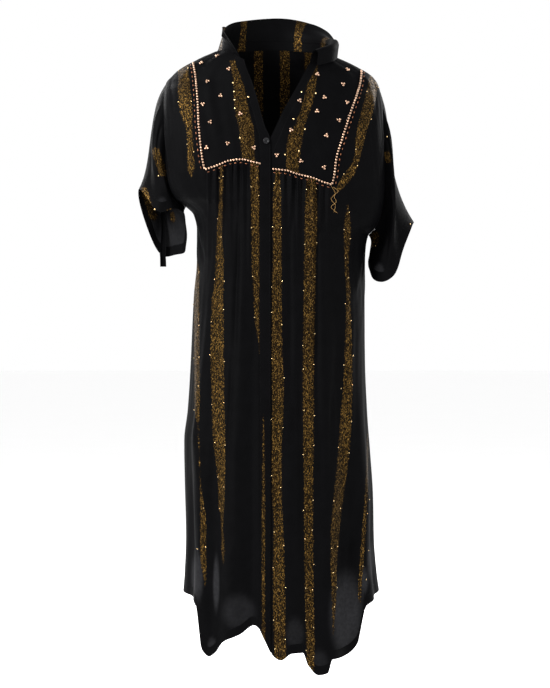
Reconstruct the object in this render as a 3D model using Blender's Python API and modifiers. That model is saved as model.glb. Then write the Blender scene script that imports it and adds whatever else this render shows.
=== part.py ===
"""Kaftan worn with an open neck: thin cloth walls cut from one body surface.

Metres, +Z up. The front faces -Y, so the wearer's right side is at -X. The origin lies between the
shoulders, where the wearer holds the garment up. Every body panel is a patch of the same surface,
given by u, which runs from -1 at the right side seam over 0 in the middle to 1 at the left, and by
the height z, so neighbouring panels meet along their seams.
"""
import math

import bpy
import numpy as np

# Driving sizes
CLOTH = 0.0012
SEAM = 0.0003
BAND_LIFT = 0.0020
GATHERS = 8
GATHER_HEIGHT = 0.0030
GATHER_REACH = 0.16
GATHER_START = 0.012
STAND_HEIGHT = 0.020
TAB_DROP = 0.022
TAB_WIDTH = 0.016
TAB_PLACE = 13 / 16
TAB_SEAT = {-1: 0.0017, 1: 0.0028}
TAB_AWAY = (0.0044, 0.0054, 0.0064, 0.0078)
BUTTON_RADIUS = 0.0062
BUTTON_THICKNESS = 0.0026
BUTTON_BEVEL = 0.0006
SIDE_FADE = 10

# Outer end of the front and back at each height: the shoulder seam down to the armhole, then the
# armhole, then the side seam.
# columns: height, distance to the side, depth of the front's end, depth of the back's end
OUTER_RIGHT = (
    (0.050, 0.080, 0.000, 0.000),
    (0.018, 0.114, 0.000, 0.000),
    (0.010, 0.132, 0.000, 0.000),
    (0.002, 0.152, 0.000, 0.000),
    (-0.012, 0.180, 0.000, 0.000),
    (-0.024, 0.197, 0.000, 0.000),
    (-0.036, 0.209, 0.000, 0.000),
    (-0.048, 0.218, 0.000, 0.000),
    (-0.065, 0.2200, -0.023, 0.023),
    (-0.090, 0.2205, -0.039, 0.039),
    (-0.125, 0.2195, -0.051, 0.052),
    (-0.180, 0.2170, -0.058, 0.060),
    (-0.229, 0.2140, -0.056, 0.058),
    (-0.260, 0.2085, -0.045, 0.046),
    (-0.282, 0.1970, -0.027, 0.028),
    (-0.294, 0.1780, 0.000, 0.000),
    (-0.310, 0.1625, 0.000, 0.000),
    (-0.340, 0.1560, 0.000, 0.000),
    (-0.400, 0.1560, 0.000, 0.000),
    (-0.470, 0.1620, 0.000, 0.000),
    (-0.600, 0.1680, 0.000, 0.000),
    (-0.700, 0.1745, 0.000, 0.000),
    (-0.760, 0.1815, 0.000, 0.000),
    (-0.850, 0.1800, 0.000, 0.000),
    (-0.950, 0.1780, 0.000, 0.000),
    (-1.030, 0.1810, 0.000, 0.000),
    (-1.070, 0.1840, 0.000, 0.000),
    (-1.230, 0.1870, 0.000, 0.000),
)
OUTER_LEFT = (
    (0.050, 0.074, 0.000, 0.000),
    (0.012, 0.104, 0.000, 0.000),
    (0.006, 0.118, 0.000, 0.000),
    (0.000, 0.131, 0.000, 0.000),
    (-0.012, 0.159, 0.000, 0.000),
    (-0.024, 0.182, 0.000, 0.000),
    (-0.036, 0.197, 0.000, 0.000),
    (-0.050, 0.206, 0.000, 0.000),
    (-0.062, 0.210, 0.000, 0.000),
    (-0.080, 0.2120, -0.024, 0.024),
    (-0.105, 0.2130, -0.040, 0.040),
    (-0.150, 0.2140, -0.052, 0.054),
    (-0.200, 0.2155, -0.057, 0.060),
    (-0.259, 0.2160, -0.054, 0.056),
    (-0.305, 0.2120, -0.041, 0.042),
    (-0.336, 0.2010, -0.023, 0.024),
    (-0.350, 0.1870, 0.000, 0.000),
    (-0.370, 0.1820, 0.000, 0.000),
    (-0.400, 0.1800, 0.000, 0.000),
    (-0.480, 0.1790, 0.000, 0.000),
    (-0.600, 0.1800, 0.000, 0.000),
    (-0.700, 0.1840, 0.000, 0.000),
    (-0.780, 0.1900, 0.000, 0.000),
    (-0.870, 0.1960, 0.000, 0.000),
    (-0.960, 0.1980, 0.000, 0.000),
    (-1.030, 0.2040, 0.000, 0.000),
    (-1.070, 0.2090, 0.000, 0.000),
    (-1.230, 0.2120, 0.000, 0.000),
)
SIDE_X, FRONT_END, BACK_END = 1, 2, 3

# Depth of the body surface in the middle.
# columns: height, front, back, fullness of the corners
DEPTH = (
    (0.060, -0.068, 0.072, 0.00),
    (0.018, -0.080, 0.082, 0.02),
    (-0.050, -0.096, 0.098, 0.05),
    (-0.110, -0.110, 0.104, 0.08),
    (-0.190, -0.124, 0.102, 0.10),
    (-0.270, -0.128, 0.100, 0.12),
    (-0.400, -0.125, 0.100, 0.14),
    (-0.700, -0.136, 0.116, 0.13),
    (-1.000, -0.150, 0.136, 0.10),
    (-1.230, -0.158, 0.146, 0.08),
)
FRONT, BACK, FULLNESS = 1, 2, 3

# Top edge of the body, from the front over the side of the neck.
# columns: u, height
NECK_FRONT = (
    (-1.00, 0.018),
    (-0.75, 0.0155),
    (-0.50, 0.0095),
    (-0.36, 0.003),
    (-0.20, -0.012),
    (0.00, -0.024),
    (0.20, -0.022),
    (0.36, -0.013),
    (0.50, -0.004),
    (0.75, 0.0075),
    (1.00, 0.012),
)
NECK_BACK = (
    (-1.00, 0.018),
    (-0.60, 0.025),
    (0.00, 0.032),
    (0.60, 0.023),
    (1.00, 0.012),
)

# Lower edge of the yoke.
# columns: distance from the middle, height
YOKE_RIGHT_FOOT = (
    (-0.1362, -0.229),
    (-0.1140, -0.222),
    (-0.0870, -0.212),
    (-0.0660, -0.210),
    (-0.0450, -0.2145),
    (-0.0270, -0.2190),
)
YOKE_LEFT_FOOT = (
    (-0.0060, -0.229),
    (0.0200, -0.2315),
    (0.0450, -0.239),
    (0.0720, -0.2455),
    (0.0950, -0.2545),
    (0.1100, -0.259),
)

# Outer edge of the yoke, from the shoulder seam down.
# columns: height, distance from the middle
YOKE_RIGHT_SIDE = (
    (-0.0033, -0.1625),
    (-0.046, -0.1556),
    (-0.092, -0.1510),
    (-0.136, -0.1486),
    (-0.180, -0.1444),
    (-0.211, -0.1403),
    (-0.229, -0.1362),
)
YOKE_LEFT_SIDE = (
    (-0.0175, 0.1705),
    (-0.046, 0.1687),
    (-0.076, 0.1610),
    (-0.107, 0.1505),
    (-0.143, 0.1385),
    (-0.175, 0.1285),
    (-0.207, 0.1190),
    (-0.243, 0.1143),
    (-0.259, 0.1100),
)

# Edges of the two front bands. The right band lies on top; above the neck button both fall open.
# columns: height, seam of the top band, its free edge, free edge of the under band, its seam
BANDS = (
    (0.020, -0.0870, -0.0700, 0.0760, 0.0940),
    (-0.005, -0.0800, -0.0621, 0.0690, 0.0870),
    (-0.028, -0.0735, -0.0557, 0.0617, 0.0797),
    (-0.050, -0.0650, -0.0470, 0.0507, 0.0687),
    (-0.080, -0.0555, -0.0375, 0.0345, 0.0525),
    (-0.112, -0.0462, -0.0288, 0.0166, 0.0345),
    (-0.145, -0.0375, -0.0195, 0.0015, 0.0190),
    (-0.169, -0.0325, -0.0100, -0.0097, 0.0095),
    (-0.195, -0.0303, -0.0085, -0.0255, -0.0015),
    (-0.215, -0.0300, -0.0085, -0.0270, -0.0058),
    (-0.230, -0.0300, -0.0085, -0.0270, -0.0060),
    (-1.250, -0.0300, -0.0085, -0.0270, -0.0060),
)
TOP_SEAM, TOP_FREE, UNDER_FREE, UNDER_SEAM = 1, 2, 3, 4
BAND_OVERLAP = 0.003

# Hems.
# columns: u, height
FRONT_HEM = (
    (-1.00, -1.058),
    (-0.80, -1.062),
    (-0.66, -1.067),
    (-0.56, -1.078),
    (-0.535, -1.110),
    (-0.51, -1.160),
    (-0.46, -1.174),
    (-0.42, -1.168),
    (-0.33, -1.143),
    (-0.22, -1.128),
    (-0.13, -1.110),
    (-0.08, -1.122),
    (-0.03, -1.161),
    (0.03, -1.176),
    (0.09, -1.163),
    (0.15, -1.162),
    (0.18, -1.186),
    (0.24, -1.206),
    (0.29, -1.202),
    (0.32, -1.176),
    (0.38, -1.175),
    (0.46, -1.170),
    (0.53, -1.152),
    (0.56, -1.112),
    (0.59, -1.078),
    (0.75, -1.066),
    (1.00, -1.058),
)
BACK_HEM = (
    (-1.00, -1.058),
    (-0.78, -1.068),
    (-0.62, -1.086),
    (-0.55, -1.125),
    (-0.47, -1.156),
    (-0.20, -1.150),
    (0.00, -1.158),
    (0.25, -1.150),
    (0.47, -1.158),
    (0.55, -1.128),
    (0.62, -1.090),
    (0.78, -1.070),
    (1.00, -1.058),
)

# Heights shared by all pieces that meet at the shoulder, armhole and side seam of one side.
RIGHT_LEVELS = {
    "yoke": (0.018, 0.0115, 0.0042, -0.0033),
    "shoulder": (-0.0033, -0.010, -0.018, -0.027, -0.035, -0.042, -0.048),
    "armhole": (-0.048, -0.062, -0.081, -0.106, -0.135, -0.165, -0.197, -0.229),
    "underarm": (-0.229, -0.250, -0.270, -0.286, -0.294),
    "side": (-0.294, -0.312, -0.340, -0.380, -0.435, -0.500, -0.580, -0.670, -0.760, -0.850,
             -0.930, -1.000, -1.058),
}
LEFT_LEVELS = {
    "yoke": (0.012, 0.003, -0.007, -0.0175),
    "shoulder": (-0.0175, -0.024, -0.031, -0.039, -0.047, -0.055, -0.062),
    "armhole": (-0.062, -0.077, -0.098, -0.125, -0.157, -0.190, -0.225, -0.259),
    "underarm": (-0.259, -0.290, -0.318, -0.340, -0.350),
    "side": (-0.350, -0.364, -0.388, -0.422, -0.470, -0.530, -0.600, -0.680, -0.765, -0.850,
             -0.930, -1.000, -1.058),
}
# Share of the way from the yoke to the hem of each row of a front panel at its band.
FRONT_SHARES = (0, 0.012, 0.028, 0.05, 0.08, 0.115, 0.155, 0.205, 0.27, 0.35, 0.445, 0.55, 0.655,
                0.76, 0.86, 0.94, 1)
YOKE_ROWS = 8
GATHER_COLUMNS = 4
STRIP_COLUMNS = 13

# Large folds of the skirt.
# columns: u at the top, u at the hem, height where it starts, height where it is full, width, depth
FRONT_FOLDS = (
    (-0.78, -0.72, -0.45, -1.05, 0.026, -0.011),
    (-0.60, -0.55, -0.35, -1.10, 0.030, 0.012),
    (-0.40, -0.43, -0.30, -1.00, 0.024, -0.010),
    (-0.27, -0.30, -0.40, -1.10, 0.026, 0.010),
    (-0.12, -0.15, -0.45, -1.10, 0.018, -0.008),
    (0.13, 0.11, -0.35, -1.10, 0.022, 0.009),
    (0.26, 0.21, -0.30, -1.05, 0.022, -0.010),
    (0.36, 0.30, -0.40, -1.10, 0.028, 0.014),
    (0.52, 0.45, -0.35, -1.05, 0.026, -0.012),
    (0.70, 0.64, -0.45, -1.05, 0.030, 0.010),
    (0.84, 0.82, -0.55, -1.05, 0.024, -0.008),
)
BACK_FOLDS = (
    (-0.80, -0.74, -0.40, -1.05, 0.028, -0.011),
    (-0.58, -0.58, -0.30, -1.05, 0.032, 0.013),
    (-0.34, -0.38, -0.28, -1.05, 0.028, -0.012),
    (-0.14, -0.16, -0.35, -1.10, 0.034, 0.012),
    (0.06, 0.04, -0.28, -1.05, 0.028, -0.012),
    (0.27, 0.25, -0.32, -1.10, 0.034, 0.013),
    (0.50, 0.47, -0.30, -1.05, 0.028, -0.011),
    (0.70, 0.68, -0.40, -1.05, 0.030, 0.011),
    (0.86, 0.84, -0.50, -1.05, 0.024, -0.008),
)
QUARTER_ARC = 0.245

# Hem of each sleeve, from its outer corner over the front, the inner side and the back.
# columns: place, side, depth, height
RIGHT_SLEEVE_HEM = (
    ("outer", -0.2740, 0.000, -0.266),
    ("outer front", -0.2480, -0.046, -0.288),
    ("front", -0.2150, -0.058, -0.306),
    ("inner front", -0.1850, -0.038, -0.305),
    ("inner", -0.1770, 0.004, -0.346),
    ("inner back", -0.1840, 0.036, -0.384),
    ("back", -0.2120, 0.052, -0.390),
    ("outer back", -0.2470, 0.046, -0.362),
)
LEFT_SLEEVE_HEM = (
    ("outer", 0.2780, 0.000, -0.324),
    ("outer front", 0.2530, -0.046, -0.384),
    ("front", 0.2350, -0.058, -0.432),
    ("inner front", 0.2020, -0.044, -0.444),
    ("inner", 0.1870, 0.000, -0.412),
    ("inner back", 0.1960, 0.036, -0.400),
    ("back", 0.2220, 0.052, -0.395),
    ("outer back", 0.2560, 0.046, -0.365),
)
SLEEVE_ROWS = 9
SLEEVE_GAP = 0.0004
# Directions in which a sleeve leaves the armhole and reaches its hem: out at its inner side, out at
# its outer side of each arm, forward or back, down.
SLEEVE_START = (0.55, {-1: 0.55, 1: 0.30}, 0.30, 0.80)
SLEEVE_FINISH = (0.12, {-1: 0.48, 1: 0.66}, 0.05, 0.95)
SLEEVE_INNER, SLEEVE_OUTER = 0.230, 0.272

# Collar, from its front end on the right side round the back to the left side.
# columns: place, lean of the stand, first slope of the leaf, last slope of the leaf, turn to the
# side, width of the leaf
COLLAR = (
    (0.00, 0.60, 50, 34, 46, 0.034),
    (0.08, 0.12, 84, 72, 26, 0.026),
    (0.18, -0.30, 108, 112, 8, 0.028),
    (0.32, -0.25, 102, 100, 0, 0.038),
    (0.50, -0.05, 92, 86, 0, 0.044),
    (0.66, 0.00, 88, 30, 0, 0.048),
    (0.80, 0.08, 66, -95, 0, 0.050),
    (0.92, 0.20, 60, -97, -10, 0.050),
    (1.00, 0.30, 58, -97, -25, 0.046),
)
COLLAR_COLUMNS = 30
LEAF_ROWS = 6
LEAF_TURN = 0.6
LEAN, FIRST_SLOPE, LAST_SLOPE, TURN, LEAF_WIDTH = 1, 2, 3, 4, 5

BLACK_CLOTH = (0.006, 0.006, 0.007, 1.0)
BLACK_SHINE = (0.010, 0.010, 0.012, 1.0)


def smooth(table, column, at):
    """Read a column at any value of the table's first column, on a curve without overshoot."""
    rows = np.array(sorted(table), dtype=float)
    x, y = rows[:, 0], rows[:, column]
    step = np.diff(x)
    rise = np.diff(y) / step
    both = rise[:-1] * rise[1:]
    total = np.where(both > 0, rise[:-1] + rise[1:], 1.0)
    slope = np.concatenate(([rise[0]], np.where(both > 0, 2 * both / total, 0.0), [rise[-1]]))
    at = np.clip(np.asarray(at, dtype=float), x[0], x[-1])
    i = np.clip(np.searchsorted(x, at) - 1, 0, len(x) - 2)
    t = (at - x[i]) / step[i]
    start = (1 + 2 * t) * (1 - t) ** 2 * y[i] + t * (1 - t) ** 2 * step[i] * slope[i]
    return start + t * t * (3 - 2 * t) * y[i + 1] + t * t * (t - 1) * step[i] * slope[i + 1]


def ramp(start, end, at):
    """Rise softly from 0 at start to 1 at end."""
    t = np.clip((at - start) / (end - start), 0, 1)
    return t * t * (3 - 2 * t)


def side_column(u, z, column):
    """Read the outer table of the side that u lies on."""
    return np.where(u < 0, smooth(OUTER_RIGHT, column, z), smooth(OUTER_LEFT, column, z))


def plain_body(u, z, back):
    """Body surface without folds."""
    angle = u * math.pi / 2
    full = smooth(DEPTH, FULLNESS, z)
    end = side_column(u, z, BACK_END if back else FRONT_END)
    depth = smooth(DEPTH, BACK if back else FRONT, z)
    x = side_column(u, z, SIDE_X) * np.sin(angle) * (1 + full * np.cos(angle) ** 2)
    y = end + (depth - end) * np.cos(angle) * (1 + full * np.sin(angle) ** 2)
    return np.stack([x, y, z + 0 * u], axis=-1)


def u_at(x, z):
    """Find u where the body surface is at distance x from the middle at height z."""
    x, z = np.broadcast_arrays(np.asarray(x, dtype=float), np.asarray(z, dtype=float))
    low, high = -np.ones(x.shape), np.ones(x.shape)
    for _ in range(40):
        middle = (low + high) / 2
        too_far = plain_body(middle, z, False)[..., 0] > x
        high = np.where(too_far, middle, high)
        low = np.where(too_far, low, middle)
    return (low + high) / 2


def yoke_foot(u, z):
    """Height of the yoke's lower edge above or below a point of the front."""
    x = plain_body(u, z, False)[..., 0]
    return np.where(x < -0.0165, smooth(YOKE_RIGHT_FOOT, 1, x), smooth(YOKE_LEFT_FOOT, 1, x))


def gather_height(u, z):
    """Small gathers that start under the yoke and fade down the skirt and towards the band."""
    below = yoke_foot(u, z) - z
    x = plain_body(u, z, False)[..., 0]
    right_edge, right_band = YOKE_RIGHT_FOOT[0][0], BANDS[-1][UNDER_FREE]
    left_edge, left_band = YOKE_LEFT_FOOT[-1][0], BANDS[-1][UNDER_SEAM]
    share = np.where(x < right_band, (x - right_band) / (right_edge - right_band),
                     (x - left_band) / (left_edge - left_band))
    wave = -np.cos(2 * math.pi * GATHERS * share)
    sides = ramp(0.0, 0.13, share) * ramp(1.0, 0.9, share)
    down = ramp(0, GATHER_START, below) * ramp(GATHER_REACH, GATHER_START, below)
    return GATHER_HEIGHT * wave * sides * down


def fold_height(folds, u, z):
    """Soft ridges and troughs that widen towards the hem."""
    height = 0 * u * z
    for top, bottom, start, full, width, depth in folds:
        middle = top + (bottom - top) * np.clip((z - start) / (full - start), 0, 1)
        away = (u - middle) * QUARTER_ARC / width
        height = height + depth * np.exp(-away ** 2) * ramp(start, full, z)
    return height


def body(u, z, back):
    """Body surface with its folds."""
    u, z = np.broadcast_arrays(np.asarray(u, dtype=float), np.asarray(z, dtype=float))
    height = fold_height(BACK_FOLDS if back else FRONT_FOLDS, u, z)
    if not back:
        band = ramp(0.03, 0.10, np.abs(u + 0.055))
        height = height * band + gather_height(u, z)
    height = height * (1 - np.clip(np.abs(u), 0, 1) ** SIDE_FADE)
    return plain_body(u, z, back) + height[..., None] * facing(plain_body, u, z, back)


def facing(surface, u, z, back):
    """Outward direction of a surface."""
    near = 0.002
    across = surface(u + near, z, back) - surface(u - near, z, back)
    up = surface(u, z + near, back) - surface(u, z - near, back)
    normal = np.cross(across, up) * (-1 if back else 1)
    return normal / np.linalg.norm(normal, axis=-1, keepdims=True)


def coons(top, bottom, first, last):
    """Fill a patch between four edges given as rows of (u, z)."""
    top, bottom, first, last = (np.array(edge, dtype=float) for edge in (top, bottom, first, last))
    s = np.linspace(0, 1, len(top))[None, :, None]
    t = np.linspace(0, 1, len(first))[:, None, None]
    across = (1 - t) * top[None] + t * bottom[None]
    down = (1 - s) * first[:, None] + s * last[:, None]
    corners = (1 - t) * ((1 - s) * top[0] + s * top[-1]) + t * ((1 - s) * bottom[0] + s * bottom[-1])
    return across + down - corners


def pull_in(points, quads):
    """Move the border of a sheet inwards by half a seam gap, so that neighbours stay apart."""
    inward = {}
    edges = {}
    for quad in quads:
        for k in range(4):
            edges[(quad[k], quad[(k + 1) % 4])] = (quad[(k + 2) % 4], quad[(k + 3) % 4])
    border = [edge for edge in edges if (edge[1], edge[0]) not in edges]
    for a, b in border:
        far = edges[(a, b)]
        along = points[b] - points[a]
        along = along / np.linalg.norm(along)
        into = (points[far[0]] + points[far[1]] - points[a] - points[b]) / 2
        into = into - along * np.dot(into, along)
        into = into / np.linalg.norm(into)
        inward.setdefault(a, []).append(into)
        inward.setdefault(b, []).append(into)
    moved = points.copy()
    for index, ways in inward.items():
        total = sum(ways)
        turn = 1 + np.dot(ways[0], ways[1]) if len(ways) == 2 else 1.0
        moved[index] = points[index] + SEAM / 2 * total / max(turn, 0.3)
    return moved, border


def grid_quads(rows, columns, start=0, closed=False):
    """Quads of a grid whose rows run down and whose columns run across, seen from outside."""
    quads = []
    for r in range(rows - 1):
        for c in range(columns if closed else columns - 1):
            a = start + r * columns + c
            b = start + r * columns + (c + 1) % columns
            quads.append((a, a + columns, b + columns, b))
    return quads


def wall(name, material, points, normals, quads, lift=0.0):
    """Make a closed cloth wall from its outer points, their outward directions and its quads."""
    points, border = pull_in(points, quads)
    outer = points + lift * normals
    inner = outer - CLOTH * normals
    count = len(points)
    faces = list(quads)
    faces += [tuple(index + count for index in reversed(quad)) for quad in quads]
    faces += [(b, a, a + count, b + count) for a, b in border]
    mesh = bpy.data.meshes.new(name)
    mesh.from_pydata([tuple(point) for point in np.concatenate([outer, inner])], [], faces)
    mesh.update()
    mesh.shade_smooth()
    mesh.set_sharp_from_angle(angle=math.radians(50))
    mesh.materials.append(material)
    piece = bpy.data.objects.new(name, mesh)
    bpy.data.collections["kaftan"].objects.link(piece)
    return piece


def body_wall(name, material, patches, back=False, lift=0.0):
    """Make a body panel from patches of (u, z), each after the first joined to it by equal points."""
    places = []
    quads = []
    index_of = {}
    for patch in patches:
        rows, columns = patch.shape[:2]
        indices = []
        for place in patch.reshape(-1, 2):
            key = (round(place[0], 7), round(place[1], 7))
            if key not in index_of:
                index_of[key] = len(places)
                places.append(place)
            indices.append(index_of[key])
        for quad in grid_quads(rows, columns):
            corners = tuple(indices[k] for k in quad)
            quads.append(tuple(reversed(corners)) if back else corners)
    places = np.array(places)
    points = body(places[:, 0], places[:, 1], back)
    normals = facing(body, places[:, 0], places[:, 1], back)
    return wall(name, material, points, normals, quads, lift)


def grid_wall(name, material, grid, closed=False, lift=0.0):
    """Make a wall from a grid of outer points with its outward directions worked out from it."""
    rows, columns = grid.shape[:2]
    across = np.gradient(grid, axis=1)
    if closed:
        across = np.roll(grid, -1, axis=1) - np.roll(grid, 1, axis=1)
    normals = np.cross(np.gradient(grid, axis=0), across)
    normals = normals / np.linalg.norm(normals, axis=-1, keepdims=True)
    quads = grid_quads(rows, columns, closed=closed)
    return wall(name, material, grid.reshape(-1, 3), normals.reshape(-1, 3), quads, lift)


def halved(values):
    """Cut each step of a list into two."""
    places = np.linspace(0, len(values) - 1, 2 * len(values) - 1)
    return tuple(np.interp(places, np.arange(len(values)), values))


def line_edge(table, column, heights, shift=0.0):
    """Edge in (u, z) that follows a column of distances from the middle."""
    heights = np.array(heights, dtype=float)
    return np.stack([u_at(smooth(table, column, heights) + shift, heights), heights], axis=-1)


def neck_end(column, shift=0.0):
    """Height at which a band's edge meets the top edge of the body."""
    z = 0.0
    for _ in range(30):
        u = u_at(smooth(BANDS, column, z) + shift, z)
        z = 0.5 * z + 0.5 * smooth(NECK_FRONT, 1, u)
    return float(z)


def even(start, end, count):
    """Evenly spaced values as a plain list."""
    return list(np.linspace(start, end, count))


def neck_edge(start, end, count):
    """Top edge of the front from one u to another."""
    u = np.linspace(start, end, count)
    return np.stack([u, smooth(NECK_FRONT, 1, u)], axis=-1)


def foot_edge(table, between=1):
    """Lower edge of the yoke, with each of its steps cut into equal parts."""
    x = np.linspace(table[0][0], table[-1][0], GATHERS + 1)
    z = smooth(table, 1, x)
    u = u_at(x, z)
    step = np.linspace(0, GATHERS, GATHERS * between + 1)
    return np.stack([np.interp(step, np.arange(GATHERS + 1), edge) for edge in (u, z)], axis=-1)


def bead_edge(side, table):
    """Outer edge of the yoke, from the shoulder seam down."""
    edge = line_edge(table, 1, even(table[0][0], table[-1][0], YOKE_ROWS))
    edge[0] = (side, table[0][0])
    return edge


def seam_edge(u, levels):
    """Points at the outer end of a panel."""
    return np.array([(u, z) for z in levels])


def shares(start, end):
    """Rows of a front panel between the yoke and the hem."""
    return start + (end - start) * np.array(FRONT_SHARES)


def hem_end(table, x):
    """Height of a hem at a distance from the middle."""
    z = -1.15
    for _ in range(30):
        z = 0.5 * z + 0.5 * float(smooth(table, 1, u_at(x, z)))
    return z


def yoke_right(material):
    """Right half of the yoke."""
    inner_top = neck_end(TOP_SEAM, BAND_OVERLAP)
    inner = line_edge(BANDS, TOP_SEAM, even(inner_top, YOKE_RIGHT_FOOT[-1][1], YOKE_ROWS), BAND_OVERLAP)
    outer = bead_edge(-1, YOKE_RIGHT_SIDE)
    shoulder = seam_edge(-1, reversed(RIGHT_LEVELS["yoke"]))
    columns = GATHERS + 1
    top = np.concatenate([shoulder, neck_edge(-1, inner[0][0], columns - len(shoulder) + 1)[1:]])
    bottom = foot_edge(YOKE_RIGHT_FOOT)
    top[-1], bottom[0], bottom[-1] = inner[0], outer[-1], inner[-1]
    return body_wall("yoke_right", material, [coons(top, bottom, outer, inner)])


def yoke_left(material):
    """Left half of the yoke."""
    inner = line_edge(BANDS, UNDER_SEAM, even(neck_end(UNDER_SEAM), YOKE_LEFT_FOOT[0][1], YOKE_ROWS))
    outer = bead_edge(1, YOKE_LEFT_SIDE)
    shoulder = seam_edge(1, LEFT_LEVELS["yoke"])
    columns = GATHERS + 1
    top = np.concatenate([neck_edge(inner[0][0], 1, columns - len(shoulder) + 1)[:-1], shoulder])
    bottom = foot_edge(YOKE_LEFT_FOOT)
    top[0], bottom[0], bottom[-1] = inner[0], inner[-1], outer[-1]
    return body_wall("yoke_left", material, [coons(top, bottom, inner, outer)])


def strip_patch(side, levels, table):
    """Side strip of a front panel, from the shoulder seam to the foot of the yoke."""
    armhole = seam_edge(side, levels["armhole"])
    beads = bead_edge(side, table)
    shoulder = seam_edge(side, halved(levels["shoulder"]))
    foot = np.linspace(armhole[-1], beads[-1], STRIP_COLUMNS)
    if side < 0:
        return coons(shoulder[::-1], foot, armhole, beads)
    return coons(shoulder, foot[::-1], beads, armhole)


def hang(top, first, last, corner):
    """Fill the skirt with columns that hang straight down from the yoke, up to its corner column."""
    x = plain_body(top[:, 0], top[:, 1], False)[:, 0]
    side = np.sign(x[corner])
    outside = side * (np.arange(len(x)) - corner) > 0
    share = (side - top[:, 0]) / (side - top[corner, 0])

    def straight(z):
        u = u_at(x, z)
        return np.where(outside, side - share * (side - u[..., corner:corner + 1]), u)

    foot = np.full(len(x), first[-1][1])
    for _ in range(30):
        foot = 0.5 * foot + 0.5 * smooth(FRONT_HEM, 1, straight(foot))
    bottom = np.stack([straight(foot), foot], axis=-1)
    bottom[0], bottom[-1] = first[-1], last[-1]
    patch = coons(top, bottom, first, last)
    for row in patch[1:-1]:
        row[1:-1, 0] = straight(row[:, 1])[1:-1]
    return patch


def front_panel(name, material, side, levels, side_table, foot_table, inner_x):
    """Front panel: the gathered skirt with the side strip above it."""
    strip = strip_patch(side, levels, side_table)
    foot = foot_edge(foot_table, GATHER_COLUMNS)
    heights = shares(foot[-1 if side < 0 else 0][1], hem_end(FRONT_HEM, inner_x))
    inner = line_edge(((-2.0, inner_x), (1.0, inner_x)), 1, heights)
    outer = seam_edge(side, levels["underarm"] + levels["side"][1:])
    if side < 0:
        foot[0], foot[-1] = strip[-1][-1], inner[0]
        top = np.concatenate([strip[-1], foot[1:]])
    else:
        foot[0], foot[-1] = inner[0], strip[-1][0]
        top = np.concatenate([foot[:-1], strip[-1]])
    first, last = (outer, inner) if side < 0 else (inner, outer)
    skirt = hang(top, first, last, STRIP_COLUMNS - 1 if side < 0 else len(top) - STRIP_COLUMNS)
    return body_wall(name, material, [skirt, strip])


def back_panel(material):
    """Back panel from the neck to the hem."""
    columns = 27
    u = np.linspace(-1, 1, columns)
    edges = []
    for side, levels in ((-1, RIGHT_LEVELS), (1, LEFT_LEVELS)):
        heights = levels["yoke"] + halved(levels["shoulder"])[1:] + levels["armhole"][1:]
        edges.append(seam_edge(side, heights + levels["underarm"][1:] + levels["side"][1:]))
    top = np.stack([u, smooth(NECK_BACK, 1, u)], axis=-1)
    bottom = np.stack([u, smooth(BACK_HEM, 1, u)], axis=-1)
    return body_wall("back", material, [coons(top, bottom, edges[0], edges[1])], back=True)


def band_edge(column, foot):
    """Edge of a front band, with the rows of the yoke above its foot and of the skirt below."""
    hem = hem_end(FRONT_HEM, BANDS[-1][column])
    rows = even(neck_end(column), foot, YOKE_ROWS) + list(shares(foot, hem)[1:])
    return line_edge(BANDS, column, rows)


def band(name, material, first, last, lift):
    """Front band between two edges."""
    top = np.linspace(first[0], last[0], 4)
    bottom = np.linspace(first[-1], last[-1], 4)
    top[:, 1] = smooth(NECK_FRONT, 1, top[:, 0])
    top[0], top[-1] = first[0], last[0]
    return body_wall(name, material, [coons(top, bottom, first, last)], lift=lift)


def armhole_ring(side, levels):
    """Armhole from its top over the front to the underarm and back up over the back."""
    heights = levels["armhole"] + levels["underarm"][1:]
    sides = side * np.ones(len(heights))
    heights = np.array(heights)
    front = body(sides, heights, False), facing(body, sides, heights, False)
    back = body(sides, heights, True), facing(body, sides, heights, True)
    ring = np.concatenate([front[0], back[0][-2:0:-1]])
    normals = np.concatenate([front[1], back[1][-2:0:-1]])
    return ring, normals


def closed_curve(points, count):
    """Smooth closed curve through evenly placed points, as a sum of waves."""
    points = np.array(points)
    waves = np.fft.rfft(points, axis=0) / len(points)
    turn = np.linspace(0, 2 * math.pi, count, endpoint=False)
    curve = np.real(waves[0]) + np.zeros((count, 3))
    for k in range(1, len(waves)):
        factor = 1 if 2 * k == len(points) else 2
        wave = waves[k][None] * np.exp(1j * k * turn)[:, None]
        curve = curve + factor * np.real(wave)
    return curve


def sleeve_grid(side, levels, hem_table):
    """Outer points of a sleeve, ring by ring from the armhole to the hem."""
    ring, normals = armhole_ring(side, levels)
    hem = closed_curve([row[1:] for row in hem_table], len(ring))
    length = np.linalg.norm(hem - ring, axis=-1, keepdims=True)
    forward = ring[:, 1:2] / 0.06
    outer = ramp(SLEEVE_INNER, SLEEVE_OUTER, side * hem[:, :1])
    start, finish = (
        length * np.concatenate([side * (inside + (outside[side] - inside) * outer), ahead * forward,
                                 -down * np.ones_like(forward)], axis=-1)
        for inside, outside, ahead, down in (SLEEVE_START, SLEEVE_FINISH))
    ring = ring + SLEEVE_GAP * start / np.linalg.norm(start, axis=-1, keepdims=True)
    t = np.linspace(0, 1, SLEEVE_ROWS)[:, None, None]
    grid = (1 + 2 * t) * (1 - t) ** 2 * ring[None] + t * (1 - t) ** 2 * start[None]
    grid = grid + t * t * (3 - 2 * t) * hem[None] + t * t * (t - 1) * finish[None]
    across = np.roll(grid, -1, axis=1) - np.roll(grid, 1, axis=1)
    facings = np.cross(np.gradient(grid, axis=0), across) * -side
    facings = facings / np.linalg.norm(facings, axis=-1, keepdims=True)
    facings[0] = normals
    return grid, facings


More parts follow.
